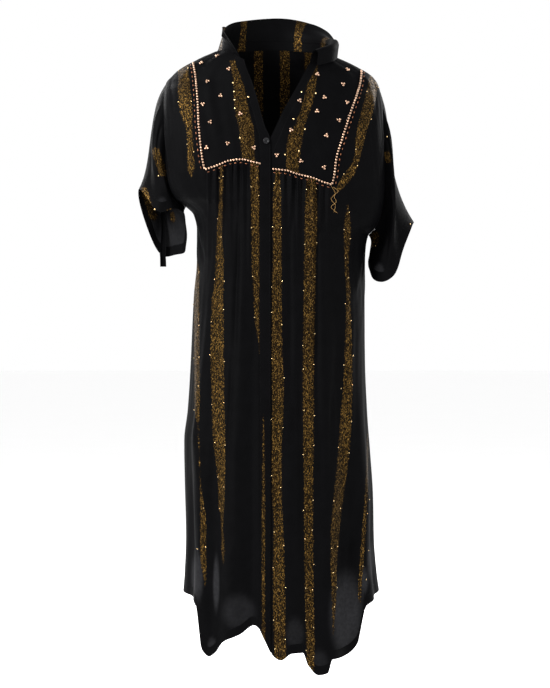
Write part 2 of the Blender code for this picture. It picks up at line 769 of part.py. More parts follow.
def sleeve(name, material, side, levels, hem_table):
    """Sleeve wall, meeting the armhole with the body's own direction there."""
    grid, normals = sleeve_grid(side, levels, hem_table)
    quads = grid_quads(*grid.shape[:2], closed=True)
    if side > 0:
        quads = [tuple(reversed(quad)) for quad in quads]
    return wall(name, material, grid.reshape(-1, 3), normals.reshape(-1, 3), quads)


def sleeve_tab(name, material, side, levels, hem_table):
    """Roll-up strap that lies inside the back of the sleeve and hangs below its hem."""
    grid, normals = sleeve_grid(side, levels, hem_table)
    place = round(grid.shape[1] * TAB_PLACE)
    centre = grid[SLEEVE_ROWS // 2:, place]
    inside = -normals[SLEEVE_ROWS // 2:, place]
    away = np.array((TAB_SEAT[side],) + TAB_AWAY)[:, None]
    edges = []
    for column in (place - 1, place + 1):
        across = grid[SLEEVE_ROWS // 2:, column] - centre
        edges.append(centre + TAB_WIDTH / 2 * across / np.linalg.norm(across, axis=-1, keepdims=True))
    strip = np.stack([edges[0], centre, edges[1]], axis=1) + (inside * away)[:, None]
    lower = [strip[-1] + TAB_DROP * share * (0.3 * inside[-1] * (1, 1, 0) - (0, 0, 1))
             for share in (0.4, 0.7, 1.0)]
    lower[-1][:, 2] = lower[-1][:, 2].min()
    grid_wall(name, material, np.concatenate([strip, lower]))


def neck_loop():
    """Base of the collar, from the right band's free edge round the back to the left's."""
    right = neck_edge(u_at(smooth(BANDS, TOP_FREE, 0.0), 0.0) + 0.01, -1, 9)
    left = neck_edge(1, u_at(smooth(BANDS, UNDER_FREE, -0.015), -0.015) - 0.01, 9)
    u = np.linspace(-1, 1, 17)
    rear = np.stack([u, smooth(NECK_BACK, 1, u)], axis=-1)
    loop = np.concatenate([body(right[:, 0], right[:, 1], False), body(rear[1:, 0], rear[1:, 1], True),
                           body(left[1:, 0], left[1:, 1], False)])
    length = np.concatenate([[0], np.cumsum(np.linalg.norm(np.diff(loop, axis=0), axis=-1))])
    share = np.linspace(0, 1, COLLAR_COLUMNS)
    return share, np.stack([np.interp(share, length / length[-1], loop[:, k]) for k in range(3)], axis=-1)


def collar(material):
    """Stand and leaf of the collar."""
    share, base = neck_loop()
    along = np.gradient(base, axis=0)
    out = np.stack([-along[:, 1], along[:, 0], 0 * share], axis=-1)
    out = out / np.linalg.norm(out, axis=-1, keepdims=True)
    turn = -np.radians(smooth(COLLAR, TURN, share))
    out = np.stack([out[:, 0] * np.cos(turn) - out[:, 1] * np.sin(turn),
                    out[:, 0] * np.sin(turn) + out[:, 1] * np.cos(turn), 0 * share], axis=-1)
    up = np.array([0.0, 0.0, 1.0])
    lean = smooth(COLLAR, LEAN, share)[:, None]
    rise = np.array([0.0007, STAND_HEIGHT / 2, STAND_HEIGHT])[:, None, None]
    stand = base[None] + rise * (up + lean * out)[None]
    grid_wall("collar_stand", material, stand[::-1, ::-1])
    first = smooth(COLLAR, FIRST_SLOPE, share)
    last = smooth(COLLAR, LAST_SLOPE, share)
    rows = [stand[-1] + SEAM * (up + lean * out)]
    step = smooth(COLLAR, LEAF_WIDTH, share)[:, None] / LEAF_ROWS
    for r in range(LEAF_ROWS):
        slope = np.radians(first + (last - first) * ramp(0, LEAF_TURN, (r + 0.5) / LEAF_ROWS))[:, None]
        rows.append(rows[-1] + step * (np.cos(slope) * out + np.sin(slope) * up))
    grid_wall("collar", material, np.array(rows)[::-1, ::-1])


def button(name, material, at, normal):
    """Flat round button on a surface, facing its outward direction."""
    tilt = math.acos(normal[2])
    turn = math.atan2(normal[1], normal[0])
    centre = at + normal * (SEAM + BUTTON_THICKNESS / 2)
    bpy.ops.mesh.primitive_cylinder_add(vertices=20, radius=BUTTON_RADIUS, depth=BUTTON_THICKNESS,
                                        location=tuple(centre), rotation=(0, tilt, turn))
    piece = bpy.context.object
    piece.name = name
    piece.data.materials.append(material)
    edge = piece.modifiers.new("edge", "BEVEL")
    edge.width = BUTTON_BEVEL
    edge.segments = 2
    for owner in list(piece.users_collection):
        owner.objects.unlink(piece)
    bpy.data.collections["kaftan"].objects.link(piece)


def buttons(material):
    """Neck button on the top band and one button on the outside of each sleeve."""
    place = -0.0170, -0.1745
    u = u_at(*place)
    point = body(u, place[1], False)
    normal = facing(body, u, place[1], False)
    button("neck_button", material, point + BAND_LIFT * normal, normal)
    for side, levels, table, row, column in ((-1, RIGHT_LEVELS, RIGHT_SLEEVE_HEM, 3, -2),
                                             (1, LEFT_LEVELS, LEFT_SLEEVE_HEM, 3, 1)):
        grid, normals = sleeve_grid(side, levels, table)
        name = "sleeve_button_right" if side < 0 else "sleeve_button_left"
        button(name, material, grid[row, column], normals[row, column])


def cloth_material(name, colour, roughness):
    """Plain material with the colour, roughness and metallic value of a piece."""
    material = bpy.data.materials.new(name)
    material.use_nodes = True
    shader = material.node_tree.nodes["Principled BSDF"]
    shader.inputs["Base Color"].default_value = colour
    shader.inputs["Roughness"].default_value = roughness
    shader.inputs["Metallic"].default_value = 0.0
    material.diffuse_color = colour
    return material


def main():
    """Build every piece of the kaftan."""
    for item in list(bpy.data.objects):
        bpy.data.objects.remove(item)
    bpy.context.scene.collection.children.link(bpy.data.collections.new("kaftan"))

    def cloth(name):
        return cloth_material(name + "_cloth", BLACK_CLOTH, 0.8)

    yoke_right(cloth("yoke_right"))
    yoke_left(cloth("yoke_left"))
    front_panel("front_right", cloth("front_right"), -1, RIGHT_LEVELS, YOKE_RIGHT_SIDE,
                YOKE_RIGHT_FOOT, BANDS[-1][UNDER_FREE])
    front_panel("front_left", cloth("front_left"), 1, LEFT_LEVELS, YOKE_LEFT_SIDE,
                YOKE_LEFT_FOOT, BANDS[-1][UNDER_SEAM])
    back_panel(cloth("back"))
    right_foot, left_foot = YOKE_RIGHT_FOOT[-1][1], YOKE_LEFT_FOOT[0][1]
    band("placket_right", cloth("placket_right"), band_edge(TOP_SEAM, right_foot),
         band_edge(TOP_FREE, right_foot), BAND_LIFT)
    band("placket_left", cloth("placket_left"), band_edge(UNDER_FREE, right_foot),
         band_edge(UNDER_SEAM, left_foot), 0.0)
    sleeve("sleeve_right", cloth("sleeve_right"), -1, RIGHT_LEVELS, RIGHT_SLEEVE_HEM)
    sleeve("sleeve_left", cloth("sleeve_left"), 1, LEFT_LEVELS, LEFT_SLEEVE_HEM)
    sleeve_tab("sleeve_tab_right", cloth("sleeve_tab_right"), -1, RIGHT_LEVELS, RIGHT_SLEEVE_HEM)
    sleeve_tab("sleeve_tab_left", cloth("sleeve_tab_left"), 1, LEFT_LEVELS, LEFT_SLEEVE_HEM)
    collar(cloth("collar"))
    buttons(cloth_material("button_shine", BLACK_SHINE, 0.25))


main()
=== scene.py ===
"""Kaftan of thin black cloth with glittering stripes and a beaded yoke.

Metres, +Z up, front towards -Y, so the wearer's right side is at -X. The body panels are patches of
one surface, given by u, from -1 at the right side seam over 0 in the middle to 1 at the left, and by
the height z. Neighbouring pieces meet along the same edges as the solids that they stand for.
"""
import math

import bmesh
import bpy
import numpy as np
from bpy.props import FloatProperty, FloatVectorProperty, IntProperty, PointerProperty
from bpy.types import Operator, Panel, PropertyGroup
from mathutils import Matrix, Vector


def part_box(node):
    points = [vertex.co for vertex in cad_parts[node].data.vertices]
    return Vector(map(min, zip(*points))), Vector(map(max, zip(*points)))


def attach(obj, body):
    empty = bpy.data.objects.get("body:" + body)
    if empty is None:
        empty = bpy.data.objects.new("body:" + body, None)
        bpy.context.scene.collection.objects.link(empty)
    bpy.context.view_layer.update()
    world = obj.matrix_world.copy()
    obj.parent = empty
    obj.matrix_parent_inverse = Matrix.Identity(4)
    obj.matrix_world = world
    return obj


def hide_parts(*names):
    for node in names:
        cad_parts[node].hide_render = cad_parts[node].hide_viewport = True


bl_info = {
    "name": "Striped kaftan",
    "version": (1, 0, 0),
    "blender": (4, 5, 0),
    "location": "View3D > Sidebar > Kaftan",
    "description": "Dresses the kaftan's solids with cloth, stripes, beads and sewing",
    "category": "Object",
}

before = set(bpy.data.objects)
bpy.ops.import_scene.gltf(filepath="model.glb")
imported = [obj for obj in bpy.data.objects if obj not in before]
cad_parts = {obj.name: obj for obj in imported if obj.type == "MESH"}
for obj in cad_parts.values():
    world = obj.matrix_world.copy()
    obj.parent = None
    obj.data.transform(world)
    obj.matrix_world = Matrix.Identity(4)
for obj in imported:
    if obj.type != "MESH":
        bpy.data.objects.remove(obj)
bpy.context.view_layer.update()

# How much finer the cloth is than the solids
FINE = 8

BAND_LIFT = 0.0020
GATHERS = 8
GATHER_HEIGHT = 0.0030
GATHER_REACH = 0.16
GATHER_START = 0.012
STAND_HEIGHT = 0.020
STAND_SINK = 0.0015
TAB_DROP = 0.022
TAB_WIDTH = 0.016
TAB_PLACE = 13 / 16
TAB_SEAT = {-1: 0.0017, 1: 0.0028}
TAB_AWAY = (0.0044, 0.0054, 0.0064, 0.0078)
SIDE_FADE = 10

# Outer end of the front and back at each height: the shoulder seam down to the armhole, then the
# armhole, then the side seam.
# columns: height, distance to the side, depth of the front's end, depth of the back's end
OUTER_RIGHT = (
    (0.050, 0.080, 0.000, 0.000),
    (0.018, 0.114, 0.000, 0.000),
    (0.010, 0.132, 0.000, 0.000),
    (0.002, 0.152, 0.000, 0.000),
    (-0.012, 0.180, 0.000, 0.000),
    (-0.024, 0.197, 0.000, 0.000),
    (-0.036, 0.209, 0.000, 0.000),
    (-0.048, 0.218, 0.000, 0.000),
    (-0.065, 0.2200, -0.023, 0.023),
    (-0.090, 0.2205, -0.039, 0.039),
    (-0.125, 0.2195, -0.051, 0.052),
    (-0.180, 0.2170, -0.058, 0.060),
    (-0.229, 0.2140, -0.056, 0.058),
    (-0.260, 0.2085, -0.045, 0.046),
    (-0.282, 0.1970, -0.027, 0.028),
    (-0.294, 0.1780, 0.000, 0.000),
    (-0.310, 0.1625, 0.000, 0.000),
    (-0.340, 0.1560, 0.000, 0.000),
    (-0.400, 0.1560, 0.000, 0.000),
    (-0.470, 0.1620, 0.000, 0.000),
    (-0.600, 0.1680, 0.000, 0.000),
    (-0.700, 0.1745, 0.000, 0.000),
    (-0.760, 0.1815, 0.000, 0.000),
    (-0.850, 0.1800, 0.000, 0.000),
    (-0.950, 0.1780, 0.000, 0.000),
    (-1.030, 0.1810, 0.000, 0.000),
    (-1.070, 0.1840, 0.000, 0.000),
    (-1.230, 0.1870, 0.000, 0.000),
)
OUTER_LEFT = (
    (0.050, 0.074, 0.000, 0.000),
    (0.012, 0.104, 0.000, 0.000),
    (0.006, 0.118, 0.000, 0.000),
    (0.000, 0.131, 0.000, 0.000),
    (-0.012, 0.159, 0.000, 0.000),
    (-0.024, 0.182, 0.000, 0.000),
    (-0.036, 0.197, 0.000, 0.000),
    (-0.050, 0.206, 0.000, 0.000),
    (-0.062, 0.210, 0.000, 0.000),
    (-0.080, 0.2120, -0.024, 0.024),
    (-0.105, 0.2130, -0.040, 0.040),
    (-0.150, 0.2140, -0.052, 0.054),
    (-0.200, 0.2155, -0.057, 0.060),
    (-0.259, 0.2160, -0.054, 0.056),
    (-0.305, 0.2120, -0.041, 0.042),
    (-0.336, 0.2010, -0.023, 0.024),
    (-0.350, 0.1870, 0.000, 0.000),
    (-0.370, 0.1820, 0.000, 0.000),
    (-0.400, 0.1800, 0.000, 0.000),
    (-0.480, 0.1790, 0.000, 0.000),
    (-0.600, 0.1800, 0.000, 0.000),
    (-0.700, 0.1840, 0.000, 0.000),
    (-0.780, 0.1900, 0.000, 0.000),
    (-0.870, 0.1960, 0.000, 0.000),
    (-0.960, 0.1980, 0.000, 0.000),
    (-1.030, 0.2040, 0.000, 0.000),
    (-1.070, 0.2090, 0.000, 0.000),
    (-1.230, 0.2120, 0.000, 0.000),
)
SIDE_X, FRONT_END, BACK_END = 1, 2, 3

# Depth of the body surface in the middle.
# columns: height, front, back, fullness of the corners
DEPTH = (
    (0.060, -0.068, 0.072, 0.00),
    (0.018, -0.080, 0.082, 0.02),
    (-0.050, -0.096, 0.098, 0.05),
    (-0.110, -0.110, 0.104, 0.08),
    (-0.190, -0.124, 0.102, 0.10),
    (-0.270, -0.128, 0.100, 0.12),
    (-0.400, -0.125, 0.100, 0.14),
    (-0.700, -0.136, 0.116, 0.13),
    (-1.000, -0.150, 0.136, 0.10),
    (-1.230, -0.158, 0.146, 0.08),
)
FRONT, BACK, FULLNESS = 1, 2, 3

# Top edge of the body, from the front over the side of the neck.
# columns: u, height
NECK_FRONT = (
    (-1.00, 0.018),
    (-0.75, 0.0155),
    (-0.50, 0.0095),
    (-0.36, 0.003),
    (-0.20, -0.012),
    (0.00, -0.024),
    (0.20, -0.022),
    (0.36, -0.013),
    (0.50, -0.004),
    (0.75, 0.0075),
    (1.00, 0.012),
)
NECK_BACK = (
    (-1.00, 0.018),
    (-0.60, 0.025),
    (0.00, 0.032),
    (0.60, 0.023),
    (1.00, 0.012),
)

# Lower edge of the yoke.
# columns: distance from the middle, height
YOKE_RIGHT_FOOT = (
    (-0.1362, -0.229),
    (-0.1140, -0.222),
    (-0.0870, -0.212),
    (-0.0660, -0.210),
    (-0.0450, -0.2145),
    (-0.0270, -0.2190),
)
YOKE_LEFT_FOOT = (
    (-0.0060, -0.229),
    (0.0200, -0.2315),
    (0.0450, -0.239),
    (0.0720, -0.2455),
    (0.0950, -0.2545),
    (0.1100, -0.259),
)

# Outer edge of the yoke, from the shoulder seam down.
# columns: height, distance from the middle
YOKE_RIGHT_SIDE = (
    (-0.0033, -0.1625),
    (-0.046, -0.1556),
    (-0.092, -0.1510),
    (-0.136, -0.1486),
    (-0.180, -0.1444),
    (-0.211, -0.1403),
    (-0.229, -0.1362),
)
YOKE_LEFT_SIDE = (
    (-0.0175, 0.1705),
    (-0.046, 0.1687),
    (-0.076, 0.1610),
    (-0.107, 0.1505),
    (-0.143, 0.1385),
    (-0.175, 0.1285),
    (-0.207, 0.1190),
    (-0.243, 0.1143),
    (-0.259, 0.1100),
)

# Edges of the two front bands. The right band lies on top; above the neck button both fall open.
# columns: height, seam of the top band, its free edge, free edge of the under band, its seam
BANDS = (
    (0.020, -0.0870, -0.0700, 0.0760, 0.0940),
    (-0.005, -0.0800, -0.0621, 0.0690, 0.0870),
    (-0.028, -0.0735, -0.0557, 0.0617, 0.0797),
    (-0.050, -0.0650, -0.0470, 0.0507, 0.0687),
    (-0.080, -0.0555, -0.0375, 0.0345, 0.0525),
    (-0.112, -0.0462, -0.0288, 0.0166, 0.0345),
    (-0.145, -0.0375, -0.0195, 0.0015, 0.0190),
    (-0.169, -0.0325, -0.0100, -0.0097, 0.0095),
    (-0.195, -0.0303, -0.0085, -0.0255, -0.0015),
    (-0.215, -0.0300, -0.0085, -0.0270, -0.0058),
    (-0.230, -0.0300, -0.0085, -0.0270, -0.0060),
    (-1.250, -0.0300, -0.0085, -0.0270, -0.0060),
)
TOP_SEAM, TOP_FREE, UNDER_FREE, UNDER_SEAM = 1, 2, 3, 4
BAND_OVERLAP = 0.003

# Hems.
# columns: u, height
FRONT_HEM = (
    (-1.00, -1.058),
    (-0.80, -1.062),
    (-0.66, -1.067),
    (-0.56, -1.078),
    (-0.535, -1.110),
    (-0.51, -1.160),
    (-0.46, -1.174),
    (-0.42, -1.168),
    (-0.33, -1.143),
    (-0.22, -1.128),
    (-0.13, -1.110),
    (-0.08, -1.122),
    (-0.03, -1.161),
    (0.03, -1.176),
    (0.09, -1.163),
    (0.15, -1.162),
    (0.18, -1.186),
    (0.24, -1.206),
    (0.29, -1.202),
    (0.32, -1.176),
    (0.38, -1.175),
    (0.46, -1.170),
    (0.53, -1.152),
    (0.56, -1.112),
    (0.59, -1.078),
    (0.75, -1.066),
    (1.00, -1.058),
)
BACK_HEM = (
    (-1.00, -1.058),
    (-0.78, -1.068),
    (-0.62, -1.086),
    (-0.55, -1.125),
    (-0.47, -1.156),
    (-0.20, -1.150),
    (0.00, -1.158),
    (0.25, -1.150),
    (0.47, -1.158),
    (0.55, -1.128),
    (0.62, -1.090),
    (0.78, -1.070),
    (1.00, -1.058),
)

# Heights shared by all pieces that meet at the shoulder, armhole and side seam of one side.
RIGHT_LEVELS = {
    "yoke": (0.018, 0.0115, 0.0042, -0.0033),
    "shoulder": (-0.0033, -0.010, -0.018, -0.027, -0.035, -0.042, -0.048),
    "armhole": (-0.048, -0.062, -0.081, -0.106, -0.135, -0.165, -0.197, -0.229),
    "underarm": (-0.229, -0.250, -0.270, -0.286, -0.294),
    "side": (-0.294, -0.312, -0.340, -0.380, -0.435, -0.500, -0.580, -0.670, -0.760, -0.850,
             -0.930, -1.000, -1.058),
}
LEFT_LEVELS = {
    "yoke": (0.012, 0.003, -0.007, -0.0175),
    "shoulder": (-0.0175, -0.024, -0.031, -0.039, -0.047, -0.055, -0.062),
    "armhole": (-0.062, -0.077, -0.098, -0.125, -0.157, -0.190, -0.225, -0.259),
    "underarm": (-0.259, -0.290, -0.318, -0.340, -0.350),
    "side": (-0.350, -0.364, -0.388, -0.422, -0.470, -0.530, -0.600, -0.680, -0.765, -0.850,
             -0.930, -1.000, -1.058),
}
# Share of the way from the yoke to the hem of each row of a front panel at its band.
FRONT_SHARES = (0, 0.012, 0.028, 0.05, 0.08, 0.115, 0.155, 0.205, 0.27, 0.35, 0.445, 0.55, 0.655,
                0.76, 0.86, 0.94, 1)
YOKE_ROWS = 8
STRIP_COLUMNS = 7
GATHER_COLUMNS = 13
BACK_COLUMNS = 160

# Large folds of the skirt.
# columns: u at the top, u at the hem, height where it starts, height where it is full, width, depth
FRONT_FOLDS = (
    (-0.78, -0.72, -0.45, -1.05, 0.026, -0.011),
    (-0.60, -0.55, -0.35, -1.10, 0.030, 0.012),
    (-0.40, -0.43, -0.30, -1.00, 0.024, -0.010),
    (-0.27, -0.30, -0.40, -1.10, 0.026, 0.010),
    (-0.12, -0.15, -0.45, -1.10, 0.018, -0.008),
    (0.13, 0.11, -0.35, -1.10, 0.022, 0.009),
    (0.26, 0.21, -0.30, -1.05, 0.022, -0.010),
    (0.36, 0.30, -0.40, -1.10, 0.028, 0.014),
    (0.52, 0.45, -0.35, -1.05, 0.026, -0.012),
    (0.70, 0.64, -0.45, -1.05, 0.030, 0.010),
    (0.84, 0.82, -0.55, -1.05, 0.024, -0.008),
)
BACK_FOLDS = (
    (-0.80, -0.74, -0.40, -1.05, 0.028, -0.011),
    (-0.58, -0.58, -0.30, -1.05, 0.032, 0.013),
    (-0.34, -0.38, -0.28, -1.05, 0.028, -0.012),
    (-0.14, -0.16, -0.35, -1.10, 0.034, 0.012),
    (0.06, 0.04, -0.28, -1.05, 0.028, -0.012),
    (0.27, 0.25, -0.32, -1.10, 0.034, 0.013),
    (0.50, 0.47, -0.30, -1.05, 0.028, -0.011),
    (0.70, 0.68, -0.40, -1.05, 0.030, 0.011),
    (0.86, 0.84, -0.50, -1.05, 0.024, -0.008),
)
QUARTER_ARC = 0.245

# Creases laid on the body, each a soft trough or ridge between two ends.
# columns: u and height of one end, u and height of the other, width, height of the ridge
FRONT_CREASES = (
    (-0.90, -0.300, -0.66, -0.370, 0.007, 0.0026),
    (-0.93, -0.320, -0.62, -0.420, 0.008, -0.0024),
    (-0.95, -0.350, -0.70, -0.480, 0.009, 0.0022),
    (0.92, -0.350, 0.66, -0.430, 0.008, 0.0026),
    (0.95, -0.380, 0.62, -0.500, 0.009, -0.0024),
    (0.96, -0.420, 0.72, -0.560, 0.009, 0.0020),
    (-0.97, -0.120, -0.80, -0.205, 0.008, 0.0024),
    (-0.97, -0.160, -0.82, -0.250, 0.007, -0.0020),
    (0.97, -0.140, 0.80, -0.220, 0.008, 0.0024),
    (0.97, -0.190, 0.83, -0.275, 0.007, -0.0020),
    (-0.80, -0.030, -0.70, -0.120, 0.008, -0.0016),
    (0.82, -0.040, 0.70, -0.140, 0.008, -0.0016),
    (-0.46, -0.100, -0.40, -0.200, 0.008, 0.0012),
    (0.48, -0.110, 0.42, -0.215, 0.008, 0.0012),
    (-0.37, -1.069, -0.15, -1.000, 0.0040, -0.0024),
    (-0.35, -1.044, -0.10, -0.962, 0.0042, -0.0024),
    (-0.35, -1.057, -0.12, -0.982, 0.0045, 0.0022),
    (-0.36, -1.081, -0.17, -1.047, 0.0042, 0.0022),
    (-0.32, -1.000, -0.11, -0.930, 0.0050, -0.0020),
    (-0.37, -1.030, -0.24, -0.950, 0.0050, 0.0018),
    (-0.30, -1.103, -0.16, -1.076, 0.0045, -0.0018),
    (-0.62, -0.960, -0.44, -1.060, 0.0070, -0.0022),
    (-0.72, -0.560, -0.50, -0.900, 0.011, 0.0026),
    (-0.278, -0.280, -0.272, -0.640, 0.0050, -0.0036),
    (-0.300, -0.600, -0.290, -0.900, 0.0055, -0.0034),
    (-0.235, -0.300, -0.235, -0.900, 0.0110, 0.0028),
    (0.088, -0.250, 0.092, -0.680, 0.0045, -0.0030),
    (0.150, -0.560, 0.152, -1.020, 0.0055, -0.0036),
    (0.272, -0.270, 0.262, -0.800, 0.0050, -0.0034),
    (0.210, -0.300, 0.205, -0.950, 0.0110, 0.0026),
    (0.375, -0.650, 0.350, -0.820, 0.0060, -0.0032),
    (-0.50, -0.330, -0.54, -0.620, 0.010, 0.0026),
    (0.320, -0.350, 0.330, -0.720, 0.0100, 0.0024),
    (0.44, -0.380, 0.42, -0.800, 0.010, -0.0024),
    (0.60, -0.500, 0.50, -0.900, 0.012, 0.0026),
    (0.22, -0.880, 0.40, -1.060, 0.010, 0.0022),
    (0.55, -0.900, 0.40, -1.090, 0.010, -0.0024),
    (0.72, -0.820, 0.56, -1.030, 0.011, 0.0024),
)
BACK_CREASES = (
    (-0.92, -0.300, -0.50, -0.370, 0.009, 0.0028),
    (-0.95, -0.330, -0.45, -0.450, 0.010, -0.0026),
    (0.93, -0.350, 0.52, -0.420, 0.009, 0.0028),
    (0.95, -0.380, 0.46, -0.500, 0.010, -0.0026),
    (-0.80, -0.090, -0.30, -0.150, 0.012, 0.0022),
    (0.80, -0.100, 0.28, -0.165, 0.012, 0.0022),
    (-0.60, -0.160, -0.15, -0.230, 0.011, -0.0020),
    (0.58, -0.170, 0.12, -0.235, 0.011, -0.0020),
    (-0.50, -0.020, -0.10, 0.005, 0.009, 0.0016),
    (0.46, -0.025, 0.10, 0.000, 0.009, 0.0016),
    (-0.40, -0.420, -0.46, -0.820, 0.011, 0.0026),
    (-0.05, -0.380, -0.02, -0.760, 0.011, -0.0024),
    (0.16, -0.400, 0.14, -0.860, 0.010, 0.0024),
    (0.38, -0.420, 0.40, -0.800, 0.012, -0.0024),
    (-0.22, -0.500, -0.24, -0.900, 0.010, -0.0022),
    (0.62, -0.500, 0.58, -0.860, 0.012, 0.0024),
    (-0.68, -0.560, -0.62, -0.920, 0.012, -0.0026),
    (-0.30, -0.960, -0.10, -1.070, 0.009, 0.0022),
    (0.30, -0.950, 0.12, -1.080, 0.009, -0.0022),
    (0.66, -0.940, 0.50, -1.060, 0.009, 0.0022),
)
# Soft folds of the sleeves.
# columns: turn and share of the length of one end, the same of the other, width, height
SLEEVE_CREASES = (
    (0.10, 0.02, 0.14, 0.70, 0.009, 0.0026),
    (0.17, 0.00, 0.22, 0.60, 0.008, -0.0024),
    (0.30, 0.05, 0.27, 0.80, 0.009, 0.0024),
    (0.36, 0.25, 0.31, 0.95, 0.008, -0.0020),
    (0.66, 0.05, 0.70, 0.75, 0.009, 0.0026),
    (0.77, 0.00, 0.80, 0.60, 0.008, -0.0022),
    (0.87, 0.10, 0.84, 0.85, 0.009, 0.0024),
    (0.06, 0.55, 0.12, 0.98, 0.008, -0.0018),
)

# Hem of each sleeve, from its outer corner over the front, the inner side and the back.
# columns: place, side, depth, height
RIGHT_SLEEVE_HEM = (
    ("outer", -0.2740, 0.000, -0.266),
    ("outer front", -0.2480, -0.046, -0.288),
    ("front", -0.2150, -0.058, -0.306),
    ("inner front", -0.1850, -0.038, -0.305),
    ("inner", -0.1770, 0.004, -0.346),
    ("inner back", -0.1840, 0.036, -0.384),
    ("back", -0.2120, 0.052, -0.390),
    ("outer back", -0.2470, 0.046, -0.362),
)
LEFT_SLEEVE_HEM = (
    ("outer", 0.2780, 0.000, -0.324),
    ("outer front", 0.2530, -0.046, -0.384),
    ("front", 0.2350, -0.058, -0.432),
    ("inner front", 0.2020, -0.044, -0.444),
    ("inner", 0.1870, 0.000, -0.412),
    ("inner back", 0.1960, 0.036, -0.400),
    ("back", 0.2220, 0.052, -0.395),
    ("outer back", 0.2560, 0.046, -0.365),
)
SLEEVE_ROWS = 9
SLEEVE_GAP = 0.0004
# Directions in which a sleeve leaves the armhole and reaches its hem: out at its inner side, out at
# its outer side of each arm, forward or back, down.
SLEEVE_START = (0.55, {-1: 0.55, 1: 0.30}, 0.30, 0.80)
SLEEVE_FINISH = (0.12, {-1: 0.48, 1: 0.66}, 0.05, 0.95)
SLEEVE_INNER, SLEEVE_OUTER = 0.230, 0.272

# Collar, from its front end on the right side round the back to the left side.
# columns: place, lean of the stand, first slope of the leaf, last slope of the leaf, turn to the
# side, width of the leaf
COLLAR = (
    (0.00, 0.60, 50, 34, 46, 0.034),
    (0.08, 0.12, 84, 72, 26, 0.026),
    (0.18, -0.30, 108, 112, 8, 0.028),
    (0.32, -0.25, 102, 100, 0, 0.038),
    (0.50, -0.05, 92, 86, 0, 0.044),
    (0.66, 0.00, 88, 30, 0, 0.048),
    (0.80, 0.08, 66, -95, 0, 0.050),
    (0.92, 0.20, 60, -97, -10, 0.050),
    (1.00, 0.30, 58, -97, -25, 0.046),
)
COLLAR_COLUMNS = 30
LEAF_ROWS = 6
LEAF_TURN = 0.6
LEAN, FIRST_SLOPE, LAST_SLOPE, TURN, LEAF_WIDTH = 1, 2, 3, 4, 5

# Glitter stripes of the front, each a list of its middle at some heights.
# columns: height, distance from the middle, width
YOKE_STRIPES = (
    ((-0.0114, -0.0823, 0.012), (-0.0532, -0.0722, 0.0195), (-0.1117, -0.0644, 0.027),
     (-0.1507, -0.0556, 0.029), (-0.2107, -0.0514, 0.025), (-0.240, -0.0500, 0.025)),
    ((-0.0100, 0.0770, 0.018), (-0.0226, 0.0745, 0.0196), (-0.0786, 0.0683, 0.0195),
     (-0.137, 0.0507, 0.0195), (-0.1744, 0.0378, 0.029), (-0.2207, 0.034, 0.025),
     (-0.250, 0.0330, 0.025)),
)
SIDE_STRIPES = (
    ((0.000, -0.181, 0.018), (-0.0188, -0.181, 0.020), (-0.103, -0.1747, 0.0265),
     (-0.1564, -0.1666, 0.012), (-0.2239, -0.1635, 0.0137), (-0.245, -0.163, 0.000)),
    ((-0.020, 0.196, 0.016), (-0.0486, 0.1945, 0.019), (-0.103, 0.1832, 0.0236),
     (-0.1623, 0.1669, 0.0186), (-0.2093, 0.1588, 0.012), (-0.2443, 0.1399, 0.0205),
     (-0.262, 0.128, 0.016), (-0.275, 0.120, 0.000)),
)
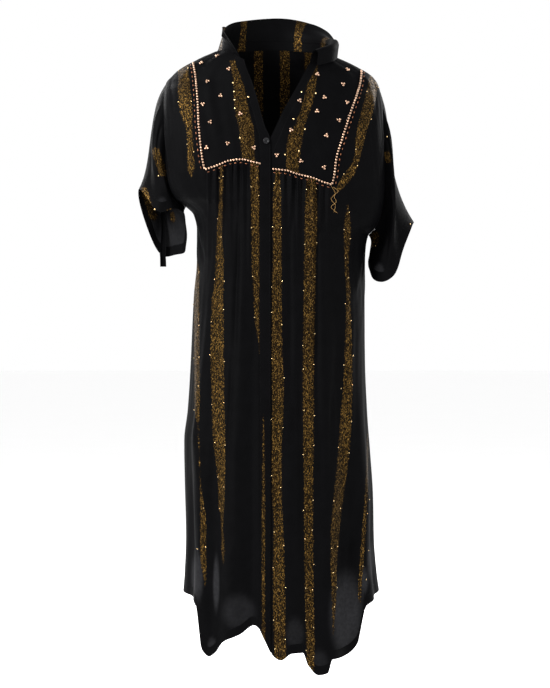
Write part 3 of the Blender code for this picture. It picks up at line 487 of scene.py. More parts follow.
SKIRT_STRIPES = (
    ((-0.222, -0.1035, 0.007), (-0.2755, -0.1045, 0.007), (-0.324, -0.1070, 0.009),
     (-0.361, -0.1085, 0.0105), (-0.404, -0.1078, 0.0165), (-0.449, -0.1090, 0.018),
     (-0.482, -0.1121, 0.023), (-0.570, -0.1127, 0.0265), (-0.677, -0.1108, 0.0251),
     (-0.747, -0.1083, 0.0249), (-0.794, -0.1058, 0.0199), (-0.837, -0.1038, 0.0139),
     (-0.882, -0.1038, 0.0119), (-0.9015, -0.1024, 0.005), (-0.931, -0.1020, 0.004),
     (-0.960, -0.1004, 0.006), (-0.995, -0.1004, 0.002)),
    ((-0.215, -0.0400, 0.017), (-0.2755, -0.0383, 0.017), (-0.404, -0.0365, 0.018),
     (-0.482, -0.0325, 0.0168), (-0.531, -0.0314, 0.014), (-0.560, -0.0296, 0.006),
     (-0.595, -0.0290, 0.001)),
    ((-0.232, 0.0050, 0.008), (-0.250, 0.0050, 0.010), (-0.2755, 0.0040, 0.016),
     (-0.400, 0.0045, 0.017), (-0.480, 0.0031, 0.020), (-0.570, 0.0035, 0.021),
     (-0.640, 0.0049, 0.0235), (-0.680, 0.0056, 0.022), (-0.790, 0.0026, 0.020),
     (-0.870, 0.0040, 0.019), (-0.910, 0.0066, 0.018), (-0.950, 0.0068, 0.021),
     (-1.070, 0.0082, 0.0235), (-1.200, 0.0107, 0.021)),
    ((-0.245, 0.0705, 0.018), (-0.320, 0.0698, 0.024), (-0.450, 0.0670, 0.0225),
     (-0.650, 0.0647, 0.0217), (-0.950, 0.0651, 0.017), (-1.070, 0.0663, 0.017),
     (-1.150, 0.0683, 0.016), (-1.230, 0.0677, 0.012)),
    ((-0.290, 0.1410, 0.001), (-0.300, 0.1412, 0.003), (-0.3457, 0.1412, 0.0142),
     (-0.410, 0.1400, 0.0078), (-0.478, 0.1437, 0.0088), (-0.599, 0.1433, 0.0155),
     (-0.745, 0.1365, 0.023), (-0.939, 0.1160, 0.0165), (-1.000, 0.1135, 0.012),
     (-1.060, 0.1143, 0.009), (-1.100, 0.1130, 0.005), (-1.130, 0.1120, 0.001)),
    ((-0.740, 0.1840, 0.001), (-0.767, 0.1835, 0.004), (-0.860, 0.1790, 0.006),
     (-0.954, 0.1720, 0.008),
     (-1.050, 0.1650, 0.007), (-1.080, 0.1640, 0.001)),
    ((-0.400, -0.1554, 0.001), (-0.420, -0.1554, 0.012), (-0.677, -0.1527, 0.0119),
     (-0.7065, -0.1517, 0.008), (-0.7357, -0.1500, 0.002), (-0.7747, -0.1476, 0.002),
     (-0.8332, -0.1457, 0.002), (-0.8722, -0.1427, 0.006), (-0.9112, -0.1396, 0.0119),
     (-0.950, -0.1396, 0.0115), (-0.991, -0.1390, 0.012), (-1.0185, -0.1365, 0.006),
     (-1.040, -0.1350, 0.001)),
)
BAND_STRIPES = (
    ((-0.700, -0.0222, 0.001), (-0.760, -0.0222, 0.004), (-0.950, -0.0222, 0.0065),
     (-1.200, -0.0222, 0.0065)),
)
BACK_STRIPES = (
    ((0.010, -0.150, 0.018), (-0.200, -0.152, 0.020), (-0.700, -0.146, 0.022),
     (-1.150, -0.150, 0.016)),
    ((0.030, -0.084, 0.020), (-0.300, -0.088, 0.026), (-0.750, -0.092, 0.027),
     (-1.170, -0.098, 0.020)),
    ((0.035, -0.034, 0.018), (-0.400, -0.032, 0.020), (-0.800, -0.036, 0.018),
     (-1.170, -0.038, 0.014)),
    ((0.035, 0.020, 0.020), (-0.300, 0.022, 0.024), (-0.800, 0.024, 0.027),
     (-1.170, 0.026, 0.024)),
    ((0.030, 0.072, 0.022), (-0.350, 0.074, 0.026), (-0.800, 0.078, 0.024),
     (-1.170, 0.084, 0.020)),
    ((0.010, 0.132, 0.018), (-0.250, 0.136, 0.020), (-0.750, 0.140, 0.023),
     (-1.150, 0.144, 0.016)),
)
# Glitter patches of the sleeves.
# columns: side and height of one end, the same of the other, width
RIGHT_SLEEVE_STRIPES = (
    (-0.2350, -0.189, -0.2212, -0.230, 0.016),
    (-0.2600, -0.264, -0.2463, -0.311, 0.015),
    (-0.2075, -0.307, -0.2060, -0.315, 0.012),
)
LEFT_SLEEVE_STRIPES = (
    (0.2215, -0.194, 0.2230, -0.205, 0.013),
    (0.2078, -0.288, 0.2055, -0.317, 0.0075),
    (0.1985, -0.353, 0.1955, -0.366, 0.0175),
)
# Sequins of the sleeves.
# columns: side, height
SLEEVE_SEQUINS = (
    (0.2212, -0.158),
    (0.2003, -0.3715),
    (0.2674, -0.329),
    (-0.2300, -0.236),
    (-0.2540, -0.322),
)
# Glitter stripes across the collar, as shares of its length.
COLLAR_STRIPES = (0.135, 0.36, 0.60, 0.745)
COLLAR_STRIPE_WIDTH = 0.019

# Single cloth that lets light through, as soft round places; the light that shows through is painted into the
# cloth's colour as grey.
# columns: distance from the middle, height, half the width, half the height, share
PAINTED_BACKLIGHT_FRONT = (
    (-0.152, -1.022, 0.013, 0.045, 0.80),
    (-0.114, -1.032, 0.0065, 0.052, 0.90),
    (-0.070, -1.085, 0.032, 0.034, 0.45),
    (-0.122, -1.152, 0.009, 0.014, 0.60),
    (0.0385, -1.125, 0.018, 0.030, 0.35),
    (0.085, -1.180, 0.018, 0.022, 0.30),
    (0.138, -1.090, 0.032, 0.078, 1.00),
    (0.1735, -1.030, 0.009, 0.024, 1.00),
    (0.188, -0.995, 0.008, 0.034, 0.90),
)
PAINTED_BACKLIGHT_BACK = (
    (-0.150, -1.060, 0.030, 0.070, 0.80),
    (0.150, -1.070, 0.034, 0.070, 0.80),
    (0.010, -1.100, 0.040, 0.050, 0.50),
)
PAINTED_BACKLIGHT_SLEEVE = (
    (0.205, -0.424, 0.010, 0.016, 0.70),
    (-0.222, -0.292, 0.010, 0.014, 0.40),
)

# Bead groups of the yoke, as they are seen from the front.
# columns: distance from the middle, height
CLUSTERS = (
    (-0.1160, 0.0080), (-0.1470, -0.0060), (-0.0926, -0.0180), (-0.1346, -0.0432),
    (-0.1088, -0.0710), (-0.1440, -0.0886), (-0.0692, -0.1076), (-0.1294, -0.1240),
    (-0.0948, -0.1664), (-0.1366, -0.1752), (-0.0420, -0.1752), (0.1448, -0.0192),
    (0.0848, -0.0286), (0.1360, -0.0484), (0.0988, -0.0748), (0.0496, -0.0812),
    (0.1440, -0.0848), (0.0840, -0.1024), (0.1280, -0.1206), (0.0320, -0.1400),
    (0.1026, -0.1510), (0.0034, -0.1900), (0.0520, -0.2020), (0.0980, -0.2148),
)
SINGLES = (
    (-0.0840, -0.0460), (-0.0820, -0.0632), (-0.0810, -0.0800), (-0.0800, -0.0968),
    (-0.0532, -0.0748), (-0.0700, -0.1560), (0.0530, -0.0640), (0.0812, -0.0666),
    (0.0372, -0.1180), (0.0600, -0.1380), (0.0480, -0.1820), (0.0200, -0.1892),
)
# Loose threads at the left corner of the yoke, each a run of places seen from the front.
LOOSE_THREADS = (
    ((0.1160, -0.2540), (0.1260, -0.2620), (0.1180, -0.2720),
     (0.1220, -0.2840), (0.1120, -0.2940), (0.1240, -0.3060)),
    ((0.1120, -0.2520), (0.1200, -0.2660), (0.1120, -0.2780),
     (0.1200, -0.2900), (0.1180, -0.3040)),
)

EYE = (0.0, -4.0, -0.568)
LENS = 104.65
FLOOR = -1.42


def smooth(table, column, at):
    """Read a column at any value of the table's first column, on a curve without overshoot."""
    rows = np.array(sorted(table), dtype=float)
    x, y = rows[:, 0], rows[:, column]
    step = np.diff(x)
    rise = np.diff(y) / step
    both = rise[:-1] * rise[1:]
    total = np.where(both > 0, rise[:-1] + rise[1:], 1.0)
    slope = np.concatenate(([rise[0]], np.where(both > 0, 2 * both / total, 0.0), [rise[-1]]))
    at = np.clip(np.asarray(at, dtype=float), x[0], x[-1])
    i = np.clip(np.searchsorted(x, at) - 1, 0, len(x) - 2)
    t = (at - x[i]) / step[i]
    start = (1 + 2 * t) * (1 - t) ** 2 * y[i] + t * (1 - t) ** 2 * step[i] * slope[i]
    return start + t * t * (3 - 2 * t) * y[i + 1] + t * t * (t - 1) * step[i] * slope[i + 1]


def ramp(start, end, at):
    """Rise softly from 0 at start to 1 at end."""
    t = np.clip((at - start) / (end - start), 0, 1)
    return t * t * (3 - 2 * t)


def side_column(u, z, column):
    """Read the outer table of the side that u lies on."""
    return np.where(u < 0, smooth(OUTER_RIGHT, column, z), smooth(OUTER_LEFT, column, z))


def plain_body(u, z, back):
    """Body surface without folds."""
    angle = u * math.pi / 2
    full = smooth(DEPTH, FULLNESS, z)
    end = side_column(u, z, BACK_END if back else FRONT_END)
    depth = smooth(DEPTH, BACK if back else FRONT, z)
    x = side_column(u, z, SIDE_X) * np.sin(angle) * (1 + full * np.cos(angle) ** 2)
    y = end + (depth - end) * np.cos(angle) * (1 + full * np.sin(angle) ** 2)
    return np.stack([x, y, z + 0 * u], axis=-1)


def u_at(x, z, back=False):
    """Find u where the body surface is at distance x from the middle at height z."""
    x, z = np.broadcast_arrays(np.asarray(x, dtype=float), np.asarray(z, dtype=float))
    low, high = -np.ones(x.shape), np.ones(x.shape)
    for _ in range(30):
        middle = (low + high) / 2
        too_far = plain_body(middle, z, back)[..., 0] > x
        high = np.where(too_far, middle, high)
        low = np.where(too_far, low, middle)
    return (low + high) / 2


def yoke_foot(u, z):
    """Height of the yoke's lower edge above or below a point of the front."""
    x = plain_body(u, z, False)[..., 0]
    return np.where(x < -0.0165, smooth(YOKE_RIGHT_FOOT, 1, x), smooth(YOKE_LEFT_FOOT, 1, x))


def gather_height(u, z):
    """Uneven gathers that start under the yoke and fade down the skirt and towards the band."""
    below = yoke_foot(u, z) - z
    x = plain_body(u, z, False)[..., 0]
    right_edge, right_band = YOKE_RIGHT_FOOT[0][0], BANDS[-1][UNDER_FREE]
    left_edge, left_band = YOKE_LEFT_FOOT[-1][0], BANDS[-1][UNDER_SEAM]
    share = np.where(x < right_band, (x - right_band) / (right_edge - right_band),
                     (x - left_band) / (left_edge - left_band))
    turn = 2 * math.pi * share
    wander = 0.16 * np.sin(2 * turn + 0.7) + 0.10 * np.sin(5 * turn) + 1.2 * np.maximum(below, 0) * np.sin(3 * turn)
    uneven = 1 + 0.35 * np.sin(3 * turn + 1.1)
    reach = GATHER_REACH * (1.15 + 0.45 * np.sin(4 * turn + 2.0))
    wave = -np.cos(GATHERS * turn + wander * 2) * uneven
    fine = 0.30 * np.cos(19 * turn + 1.5 * np.sin(2 * turn)) * ramp(0.07, 0.01, below)
    sides = ramp(0.0, 0.13, share) * ramp(1.0, 0.9, share)
    down = ramp(0, GATHER_START, below) * np.clip(1 - below / reach, 0, 1) ** 1.4
    return GATHER_HEIGHT * (wave + fine) * sides * down


def fold_height(folds, u, z):
    """Soft ridges and troughs that widen towards the hem."""
    height = 0 * u * z
    for top, bottom, start, full, width, depth in folds:
        middle = top + (bottom - top) * np.clip((z - start) / (full - start), 0, 1)
        away = (u - middle) * QUARTER_ARC / width
        height = height + depth * np.exp(-away ** 2) * ramp(start, full, z)
    return height


def crease_height(creases, across, down, across_scale, down_scale=1.0):
    """Soft creases between two ends, fading along their length."""
    height = 0 * across * down
    for first, start, last, finish, width, depth in creases:
        run = np.array([(last - first) * across_scale, (finish - start) * down_scale])
        length = np.linalg.norm(run)
        run = run / length
        x = (across - first) * across_scale
        y = (down - start) * down_scale
        along = (x * run[0] + y * run[1]) / length
        away = (x * run[1] - y * run[0]) / (width * (0.7 + 0.6 * np.clip(along, 0, 1)))
        fade = ramp(-0.12, 0.30, along) * ramp(1.12, 0.65, along)
        height = height + depth * np.exp(-away ** 2) * fade
    return height


def ripple(u, z):
    """Faint unevenness of hanging cloth."""
    wide = np.sin(31 * u + 5 * np.sin(4 * z)) * np.sin(9 * z + 3 * u)
    fine = np.sin(73 * u + 7 * np.sin(6 * z + 1)) * np.sin(17 * z + 8 * u)
    return 0.0007 * wide + 0.0003 * fine


def body(u, z, back, worn=True):
    """Body surface with its folds, and with its creases where the cloth is worn in."""
    u, z = np.broadcast_arrays(np.asarray(u, dtype=float), np.asarray(z, dtype=float))
    height = fold_height(BACK_FOLDS if back else FRONT_FOLDS, u, z)
    if worn:
        height = height + crease_height(BACK_CREASES if back else FRONT_CREASES, u, z, QUARTER_ARC)
        height = height + ripple(u, z)
    if not back:
        band = ramp(0.03, 0.10, np.abs(u + 0.055))
        height = height * band + gather_height(u, z)
    height = height * (1 - np.clip(np.abs(u), 0, 1) ** SIDE_FADE)
    return plain_body(u, z, back) + height[..., None] * facing(plain_body, u, z, back)


def facing(surface, u, z, back):
    """Outward direction of a surface."""
    near = 0.002
    across = surface(u + near, z, back) - surface(u - near, z, back)
    up = surface(u, z + near, back) - surface(u, z - near, back)
    normal = np.cross(across, up) * (-1 if back else 1)
    return normal / np.linalg.norm(normal, axis=-1, keepdims=True)


def coons(top, bottom, first, last):
    """Fill a patch between four edges given as rows of (u, z)."""
    top, bottom, first, last = (np.array(edge, dtype=float) for edge in (top, bottom, first, last))
    s = np.linspace(0, 1, len(top))[None, :, None]
    t = np.linspace(0, 1, len(first))[:, None, None]
    across = (1 - t) * top[None] + t * bottom[None]
    down = (1 - s) * first[:, None] + s * last[:, None]
    corners = (1 - t) * ((1 - s) * top[0] + s * top[-1]) + t * ((1 - s) * bottom[0] + s * bottom[-1])
    return across + down - corners


def finer(values, times):
    """Cut each step of a list into equal parts."""
    values = np.array(values, dtype=float)
    places = np.linspace(0, len(values) - 1, (len(values) - 1) * times + 1)
    return np.interp(places, np.arange(len(values)), values)


def finer_levels(levels):
    """Cut each step of a side's heights into equal parts."""
    return {name: finer(heights, FINE) for name, heights in levels.items()}


def curve(points, count):
    """Smooth curve through points, with a count of places."""
    points = np.asarray(points, dtype=float)
    slope = np.gradient(points, axis=0)
    at = np.linspace(0, len(points) - 1, count)
    i = np.clip(at.astype(int), 0, len(points) - 2)
    t = (at - i).reshape((-1,) + (1,) * (points.ndim - 1))
    start = (1 + 2 * t) * (1 - t) ** 2 * points[i] + t * (1 - t) ** 2 * slope[i]
    return start + t * t * (3 - 2 * t) * points[i + 1] + t * t * (t - 1) * slope[i + 1]


def fine_grid(grid, rows, columns):
    """Smooth surface through a coarse grid of points."""
    grid = curve(grid, rows)
    return np.swapaxes(curve(np.swapaxes(grid, 0, 1), columns), 0, 1)


def line_edge(table, column, heights, shift=0.0):
    """Edge in (u, z) that follows a column of distances from the middle."""
    heights = np.array(heights, dtype=float)
    return np.stack([u_at(smooth(table, column, heights) + shift, heights), heights], axis=-1)


def neck_end(column, shift=0.0):
    """Height at which a band's edge meets the top edge of the body."""
    z = 0.0
    for _ in range(30):
        u = u_at(smooth(BANDS, column, z) + shift, z)
        z = 0.5 * z + 0.5 * smooth(NECK_FRONT, 1, u)
    return float(z)


def neck_edge(start, end, count):
    """Top edge of the front from one u to another."""
    u = np.linspace(start, end, count)
    return np.stack([u, smooth(NECK_FRONT, 1, u)], axis=-1)


def foot_edge(table):
    """Lower edge of the yoke."""
    x = np.linspace(table[0][0], table[-1][0], GATHERS * GATHER_COLUMNS + 1)
    z = smooth(table, 1, x)
    return np.stack([u_at(x, z), z], axis=-1)


def bead_edge(side, table):
    """Outer edge of the yoke, from the shoulder seam down."""
    edge = line_edge(table, 1, np.linspace(table[0][0], table[-1][0], (YOKE_ROWS - 1) * FINE + 1))
    edge[0] = (side, table[0][0])
    return edge


def seam_edge(u, levels):
    """Points at the outer end of a panel."""
    return np.array([(u, z) for z in levels])


def hem_end(table, x):
    """Height of a hem at a distance from the middle."""
    z = -1.15
    for _ in range(30):
        z = 0.5 * z + 0.5 * float(smooth(table, 1, u_at(x, z)))
    return z


def hang(top, first, last, corner):
    """Fill the skirt with columns that hang straight down from the yoke, up to its corner column."""
    x = plain_body(top[:, 0], top[:, 1], False)[:, 0]
    side = np.sign(x[corner])
    outside = side * (np.arange(len(x)) - corner) > 0
    share = (side - top[:, 0]) / (side - top[corner, 0])

    def straight(z):
        u = u_at(x, z)
        return np.where(outside, side - share * (side - u[..., corner:corner + 1]), u)

    foot = np.full(len(x), first[-1][1])
    for _ in range(30):
        foot = 0.5 * foot + 0.5 * smooth(FRONT_HEM, 1, straight(foot))
    bottom = np.stack([straight(foot), foot], axis=-1)
    bottom[0], bottom[-1] = first[-1], last[-1]
    patch = coons(top, bottom, first, last)
    for row in patch[1:-1]:
        row[1:-1, 0] = straight(row[:, 1])[1:-1]
    return patch


def yoke_right_patch():
    """Right half of the yoke, in (u, z)."""
    rows = (YOKE_ROWS - 1) * FINE + 1
    inner_top = neck_end(TOP_SEAM, BAND_OVERLAP)
    inner = line_edge(BANDS, TOP_SEAM, np.linspace(inner_top, YOKE_RIGHT_FOOT[-1][1], rows), BAND_OVERLAP)
    outer = bead_edge(-1, YOKE_RIGHT_SIDE)
    shoulder = seam_edge(-1, finer_levels(RIGHT_LEVELS)["yoke"][::-1])
    bottom = foot_edge(YOKE_RIGHT_FOOT)
    top = np.concatenate([shoulder, neck_edge(-1, inner[0][0], len(bottom) - len(shoulder) + 1)[1:]])
    top[-1], bottom[0], bottom[-1] = inner[0], outer[-1], inner[-1]
    return coons(top, bottom, outer, inner)


def yoke_left_patch():
    """Left half of the yoke, in (u, z)."""
    rows = (YOKE_ROWS - 1) * FINE + 1
    inner = line_edge(BANDS, UNDER_SEAM, np.linspace(neck_end(UNDER_SEAM), YOKE_LEFT_FOOT[0][1], rows))
    outer = bead_edge(1, YOKE_LEFT_SIDE)
    shoulder = seam_edge(1, finer_levels(LEFT_LEVELS)["yoke"])
    bottom = foot_edge(YOKE_LEFT_FOOT)
    top = np.concatenate([neck_edge(inner[0][0], 1, len(bottom) - len(shoulder) + 1)[:-1], shoulder])
    top[0], bottom[0], bottom[-1] = inner[0], inner[-1], outer[-1]
    return coons(top, bottom, inner, outer)


def front_patches(side, levels, side_table, foot_table, inner_x):
    """Gathered skirt and side strip of a front panel, in (u, z)."""
    levels = finer_levels(levels)
    armhole = seam_edge(side, levels["armhole"])
    beads = bead_edge(side, side_table)
    shoulder = seam_edge(side, levels["shoulder"])
    across = np.linspace(armhole[-1], beads[-1], (STRIP_COLUMNS - 1) * FINE + 1)
    if side < 0:
        strip = coons(shoulder[::-1], across, armhole, beads)
    else:
        strip = coons(shoulder, across[::-1], beads, armhole)
    foot = foot_edge(foot_table)
    start, end = foot[-1 if side < 0 else 0][1], hem_end(FRONT_HEM, inner_x)
    inner = line_edge(((-2.0, inner_x), (1.0, inner_x)), 1, start + (end - start) * finer(FRONT_SHARES, FINE))
    outer = seam_edge(side, np.concatenate([levels["underarm"], levels["side"][1:]]))
    if side < 0:
        foot[0], foot[-1] = strip[-1][-1], inner[0]
        top = np.concatenate([strip[-1], foot[1:]])
        skirt = hang(top, outer, inner, strip.shape[1] - 1)
    else:
        foot[0], foot[-1] = inner[0], strip[-1][0]
        top = np.concatenate([foot[:-1], strip[-1]])
        skirt = hang(top, inner, outer, len(top) - strip.shape[1])
    return skirt, strip


def back_patch():
    """Back panel, in (u, z)."""
    u = np.linspace(-1, 1, BACK_COLUMNS + 1)
    edges = []
    for side, levels in ((-1, RIGHT_LEVELS), (1, LEFT_LEVELS)):
        heights = levels["yoke"] + levels["shoulder"][1:] + levels["armhole"][1:]
        heights = heights + levels["underarm"][1:] + levels["side"][1:]
        edges.append(seam_edge(side, finer(heights, FINE // 2 + 1)))
    top = np.stack([u, smooth(NECK_BACK, 1, u)], axis=-1)
    bottom = np.stack([u, smooth(BACK_HEM, 1, u)], axis=-1)
    return coons(top, bottom, edges[0], edges[1])


def band_patch(first_column, first_foot, last_column, last_foot):
    """Front band between two of its edges, in (u, z)."""
    edges = []
    for column, foot in ((first_column, first_foot), (last_column, last_foot)):
        hem = hem_end(FRONT_HEM, BANDS[-1][column])
        upper = np.linspace(neck_end(column), foot, (YOKE_ROWS - 1) * FINE + 1)
        lower = foot + (hem - foot) * finer(FRONT_SHARES, FINE)
        edges.append(line_edge(BANDS, column, np.concatenate([upper, lower[1:]])))
    first, last = edges
    top = np.linspace(first[0], last[0], 11)
    bottom = np.linspace(first[-1], last[-1], 11)
    top[1:-1, 1] = smooth(NECK_FRONT, 1, top[1:-1, 0])
    return coons(top, bottom, first, last)


def closed_curve(points, count):
    """Smooth closed curve through evenly placed points, as a sum of waves."""
    points = np.array(points)
    waves = np.fft.rfft(points, axis=0) / len(points)
    turn = np.linspace(0, 2 * math.pi, count, endpoint=False)
    line = np.real(waves[0]) + np.zeros((count, 3))
    for k in range(1, len(waves)):
        factor = 1 if 2 * k == len(points) else 2
        line = line + factor * np.real(waves[k][None] * np.exp(1j * k * turn)[:, None])
    return line


def sleeve_grid(side, levels, hem_table, rows, worn):
    """Outer points of a sleeve, ring by ring from the armhole to the hem, and their directions."""
    heights = np.concatenate([levels["armhole"], levels["underarm"][1:]])
    sides = side * np.ones(len(heights))
    front = body(sides, heights, False, worn)
    back = body(sides, heights, True, worn)
    ring = np.concatenate([front, back[-2:0:-1]])
    hem = closed_curve([row[1:] for row in hem_table], len(ring))
    length = np.linalg.norm(hem - ring, axis=-1, keepdims=True)
    forward = ring[:, 1:2] / 0.06
    outer = ramp(SLEEVE_INNER, SLEEVE_OUTER, side * hem[:, :1])
    start, finish = (
        length * np.concatenate([side * (inside + (outside[side] - inside) * outer), ahead * forward,
                                 -down * np.ones_like(forward)], axis=-1)
        for inside, outside, ahead, down in (SLEEVE_START, SLEEVE_FINISH))
    ring = ring + SLEEVE_GAP * start / np.linalg.norm(start, axis=-1, keepdims=True)
    t = np.linspace(0, 1, rows)[:, None, None]
    grid = (1 + 2 * t) * (1 - t) ** 2 * ring[None] + t * (1 - t) ** 2 * start[None]
    grid = grid + t * t * (3 - 2 * t) * hem[None] + t * t * (t - 1) * finish[None]
    across = np.roll(grid, -1, axis=1) - np.roll(grid, 1, axis=1)
    facings = np.cross(np.gradient(grid, axis=0), across) * -side
    facings = facings / np.linalg.norm(facings, axis=-1, keepdims=True)
    if worn:
        turn = np.linspace(0, 1, len(ring), endpoint=False)[None, :]
        relief = crease_height(SLEEVE_CREASES, turn, t[..., 0], 0.50, 0.26)
        relief = relief + 0.0007 * np.sin(2 * math.pi * 9 * turn + 4 * t[..., 0]) * np.sin(7 * t[..., 0] + 1)
        grid = grid + (relief * ramp(0, 0.12, t[..., 0]))[..., None] * facings
    return grid, facings


def tab_strip(side, levels, hem_table):
    """Roll-up strap that lies inside the back of a sleeve and hangs below its hem."""
    grid, normals = sleeve_grid(side, levels, hem_table, SLEEVE_ROWS, False)
    place = round(grid.shape[1] * TAB_PLACE)
    centre = grid[SLEEVE_ROWS // 2:, place]
    inside = -normals[SLEEVE_ROWS // 2:, place]
    away = np.array((TAB_SEAT[side],) + TAB_AWAY)[:, None]
    edges = []
    for column in (place - 1, place + 1):
        across = grid[SLEEVE_ROWS // 2:, column] - centre
        edges.append(centre + TAB_WIDTH / 2 * across / np.linalg.norm(across, axis=-1, keepdims=True))
    strip = np.stack([edges[0], centre, edges[1]], axis=1) + (inside * away)[:, None]
    lower = [strip[-1] + TAB_DROP * share * (0.3 * inside[-1] * (1, 1, 0) - (0, 0, 1))
             for share in (0.4, 0.7, 1.0)]
    lower[-1][:, 2] = lower[-1][:, 2].min()
    return np.concatenate([strip, lower])


def collar_grids():
    """Stand and leaf of the collar, row by row from the neck up."""
    right = neck_edge(u_at(smooth(BANDS, TOP_FREE, 0.0), 0.0) + 0.01, -1, 9)
    left = neck_edge(1, u_at(smooth(BANDS, UNDER_FREE, -0.015), -0.015) - 0.01, 9)
    u = np.linspace(-1, 1, 17)
    rear = np.stack([u, smooth(NECK_BACK, 1, u)], axis=-1)
    loop = np.concatenate([body(right[:, 0], right[:, 1], False, False),
                           body(rear[1:, 0], rear[1:, 1], True, False),
                           body(left[1:, 0], left[1:, 1], False, False)])
    length = np.concatenate([[0], np.cumsum(np.linalg.norm(np.diff(loop, axis=0), axis=-1))])
    share = np.linspace(0, 1, COLLAR_COLUMNS)
    base = np.stack([np.interp(share, length / length[-1], loop[:, k]) for k in range(3)], axis=-1)
    along = np.gradient(base, axis=0)
    out = np.stack([-along[:, 1], along[:, 0], 0 * share], axis=-1)
    out = out / np.linalg.norm(out, axis=-1, keepdims=True)
    turn = -np.radians(smooth(COLLAR, TURN, share))
    out = np.stack([out[:, 0] * np.cos(turn) - out[:, 1] * np.sin(turn),
                    out[:, 0] * np.sin(turn) + out[:, 1] * np.cos(turn), 0 * share], axis=-1)
    up = np.array([0.0, 0.0, 1.0])
    lean = smooth(COLLAR, LEAN, share)[:, None]
    rise = np.array([-STAND_SINK, STAND_HEIGHT / 2, STAND_HEIGHT])[:, None, None]
    stand = base[None] + rise * (up + lean * out)[None]
    first = smooth(COLLAR, FIRST_SLOPE, share)
    last = smooth(COLLAR, LAST_SLOPE, share)
    rows = [stand[-1]]
    step = smooth(COLLAR, LEAF_WIDTH, share)[:, None] / LEAF_ROWS
    for r in range(LEAF_ROWS):
        slope = np.radians(first + (last - first) * ramp(0, LEAF_TURN, (r + 0.5) / LEAF_ROWS))[:, None]
        rows.append(rows[-1] + step * (np.cos(slope) * out + np.sin(slope) * up))
    return stand, np.array(rows)


def length_down(grid):
    """Distance of each point of a grid from its first row, along its column."""
    steps = np.linalg.norm(np.diff(grid, axis=0), axis=-1)
    return np.concatenate([np.zeros((1, grid.shape[1])), np.cumsum(steps, axis=0)])


def from_row(grid, last=True):
    """Distance of each point of a grid from its last or first row."""
    down = length_down(grid)
    return down[-1:] - down if last else down


def from_column(grid, last=True):
    """Distance of each point of a grid from its last or first column."""
    return from_row(np.swapaxes(grid, 0, 1), last).T


def stripe_depth(stripes, x, z):
    """Distance inside the nearest glitter stripe, negative outside it."""
    depth = -0.05 + 0 * x
    for stripe in stripes:
        low, high = min(row[0] for row in stripe), max(row[0] for row in stripe)
        centre = smooth(stripe, 1, z)
        half = smooth(stripe, 2, z) / 2
        ends = np.minimum(z - low, high - z)
        depth = np.maximum(depth, np.minimum(half - np.abs(x - centre), ends))
    return depth


def patch_depth(patches, x, z):
    """Distance inside the nearest glitter patch with round ends, negative outside it."""
    depth = -0.05 + 0 * x
    for x1, z1, x2, z2, width in patches:
        run = np.array([x2 - x1, z2 - z1])
        along = np.clip(((x - x1) * run[0] + (z - z1) * run[1]) / run.dot(run), 0, 1)
        away = np.hypot(x - x1 - along * run[0], z - z1 - along * run[1])
        depth = np.maximum(depth, width / 2 - away)
    return depth


def painted_backlight_share(places, x, z):
    """How much painted backlight, grey colour standing for light coming through the cloth, lies at a point, from 0
    to 1.
    """
    share = 0 * x
    for centre, height, half_width, half_height, most in places:
        away = np.sqrt(((x - centre) / half_width) ** 2 + ((z - height) / half_height) ** 2)
        share = np.maximum(share, most * ramp(1.25, 0.55, away))
    return share


# The painted backlight mark raises the cloth's colour to grey where light would come through single cloth.
MARKS = ("glitter", "sewn", "sheer")
FAR = 0.05


def marks(shape, glitter=None, sewn=None, sheer=None):
    """Numbers that the cloth's material reads at each point."""
    made = {"glitter": -FAR, "sewn": FAR, "sheer": 0.0}
    for name, value in (("glitter", glitter), ("sewn", sewn), ("sheer", sheer)):
        if value is not None:
            made[name] = value
    return {name: np.broadcast_to(value, shape) for name, value in made.items()}


def finish_object(name, shape, material):
    """Turn a bmesh into a piece of the object."""
    mesh = bpy.data.meshes.new(name)
    shape.to_mesh(mesh)
    shape.free()
    mesh.materials.append(material)
    piece = bpy.data.objects.new(name, mesh)
    bpy.context.scene.collection.objects.link(piece)
    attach(piece, "root")
    return piece


def cloth_piece(name, node, patches, material, turned=False):
    """Make a sheet of cloth from grids of points, give it its thickness and set it for its solid."""
    shape = bmesh.new()
    layers = {mark: shape.verts.layers.float.new(mark) for mark in MARKS}
    for points, values in patches:
        rows, columns = points.shape[:2]
        made = bmesh.ops.create_grid(shape, x_segments=columns - 1, y_segments=rows - 1, size=1)["verts"]
        if len(made) != rows * columns:
            raise RuntimeError(name + " has a grid of another size")
        low = min(vertex.co.x for vertex in made), min(vertex.co.y for vertex in made)
        high = max(vertex.co.x for vertex in made), max(vertex.co.y for vertex in made)
        for vertex in made:
            column = round((vertex.co.x - low[0]) / (high[0] - low[0]) * (columns - 1))
            row = round((high[1] - vertex.co.y) / (high[1] - low[1]) * (rows - 1))
            vertex.co = points[row, column]
            for mark in MARKS:
                vertex[layers[mark]] = values[mark][row, column]
    bmesh.ops.remove_doubles(shape, verts=shape.verts, dist=0.00001)
    if turned:
        bmesh.ops.reverse_faces(shape, faces=shape.faces)
    for face in shape.faces:
        face.smooth = True
    piece = finish_object(name, shape, material)
    wall = piece.modifiers.new("thickness", "SOLIDIFY")
    wall.thickness = bpy.context.scene.kaftan_sizes.cloth
    wall.offset = -1
    graph = bpy.context.evaluated_depsgraph_get()
    thick = bpy.data.meshes.new_from_object(piece.evaluated_get(graph))
    piece.modifiers.clear()
    piece.data = thick
    thick.set_sharp_from_angle(angle=math.radians(50))
    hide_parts(node)
    return piece


def body_patch(patch, stripes, back=False, lift=0.0, hem=None, sheer=()):
    """Points and marks of a patch of the body surface."""
    u, z = patch[..., 0], patch[..., 1]
    points = body(u, z, back)
    if lift:
        points = points + lift * facing(plain_body, u, z, back)
    values = marks(u.shape, glitter=stripe_depth(stripes, points[..., 0], z), sewn=hem,
                   sheer=painted_backlight_share(sheer, points[..., 0], z) if sheer else None)
    return points, values


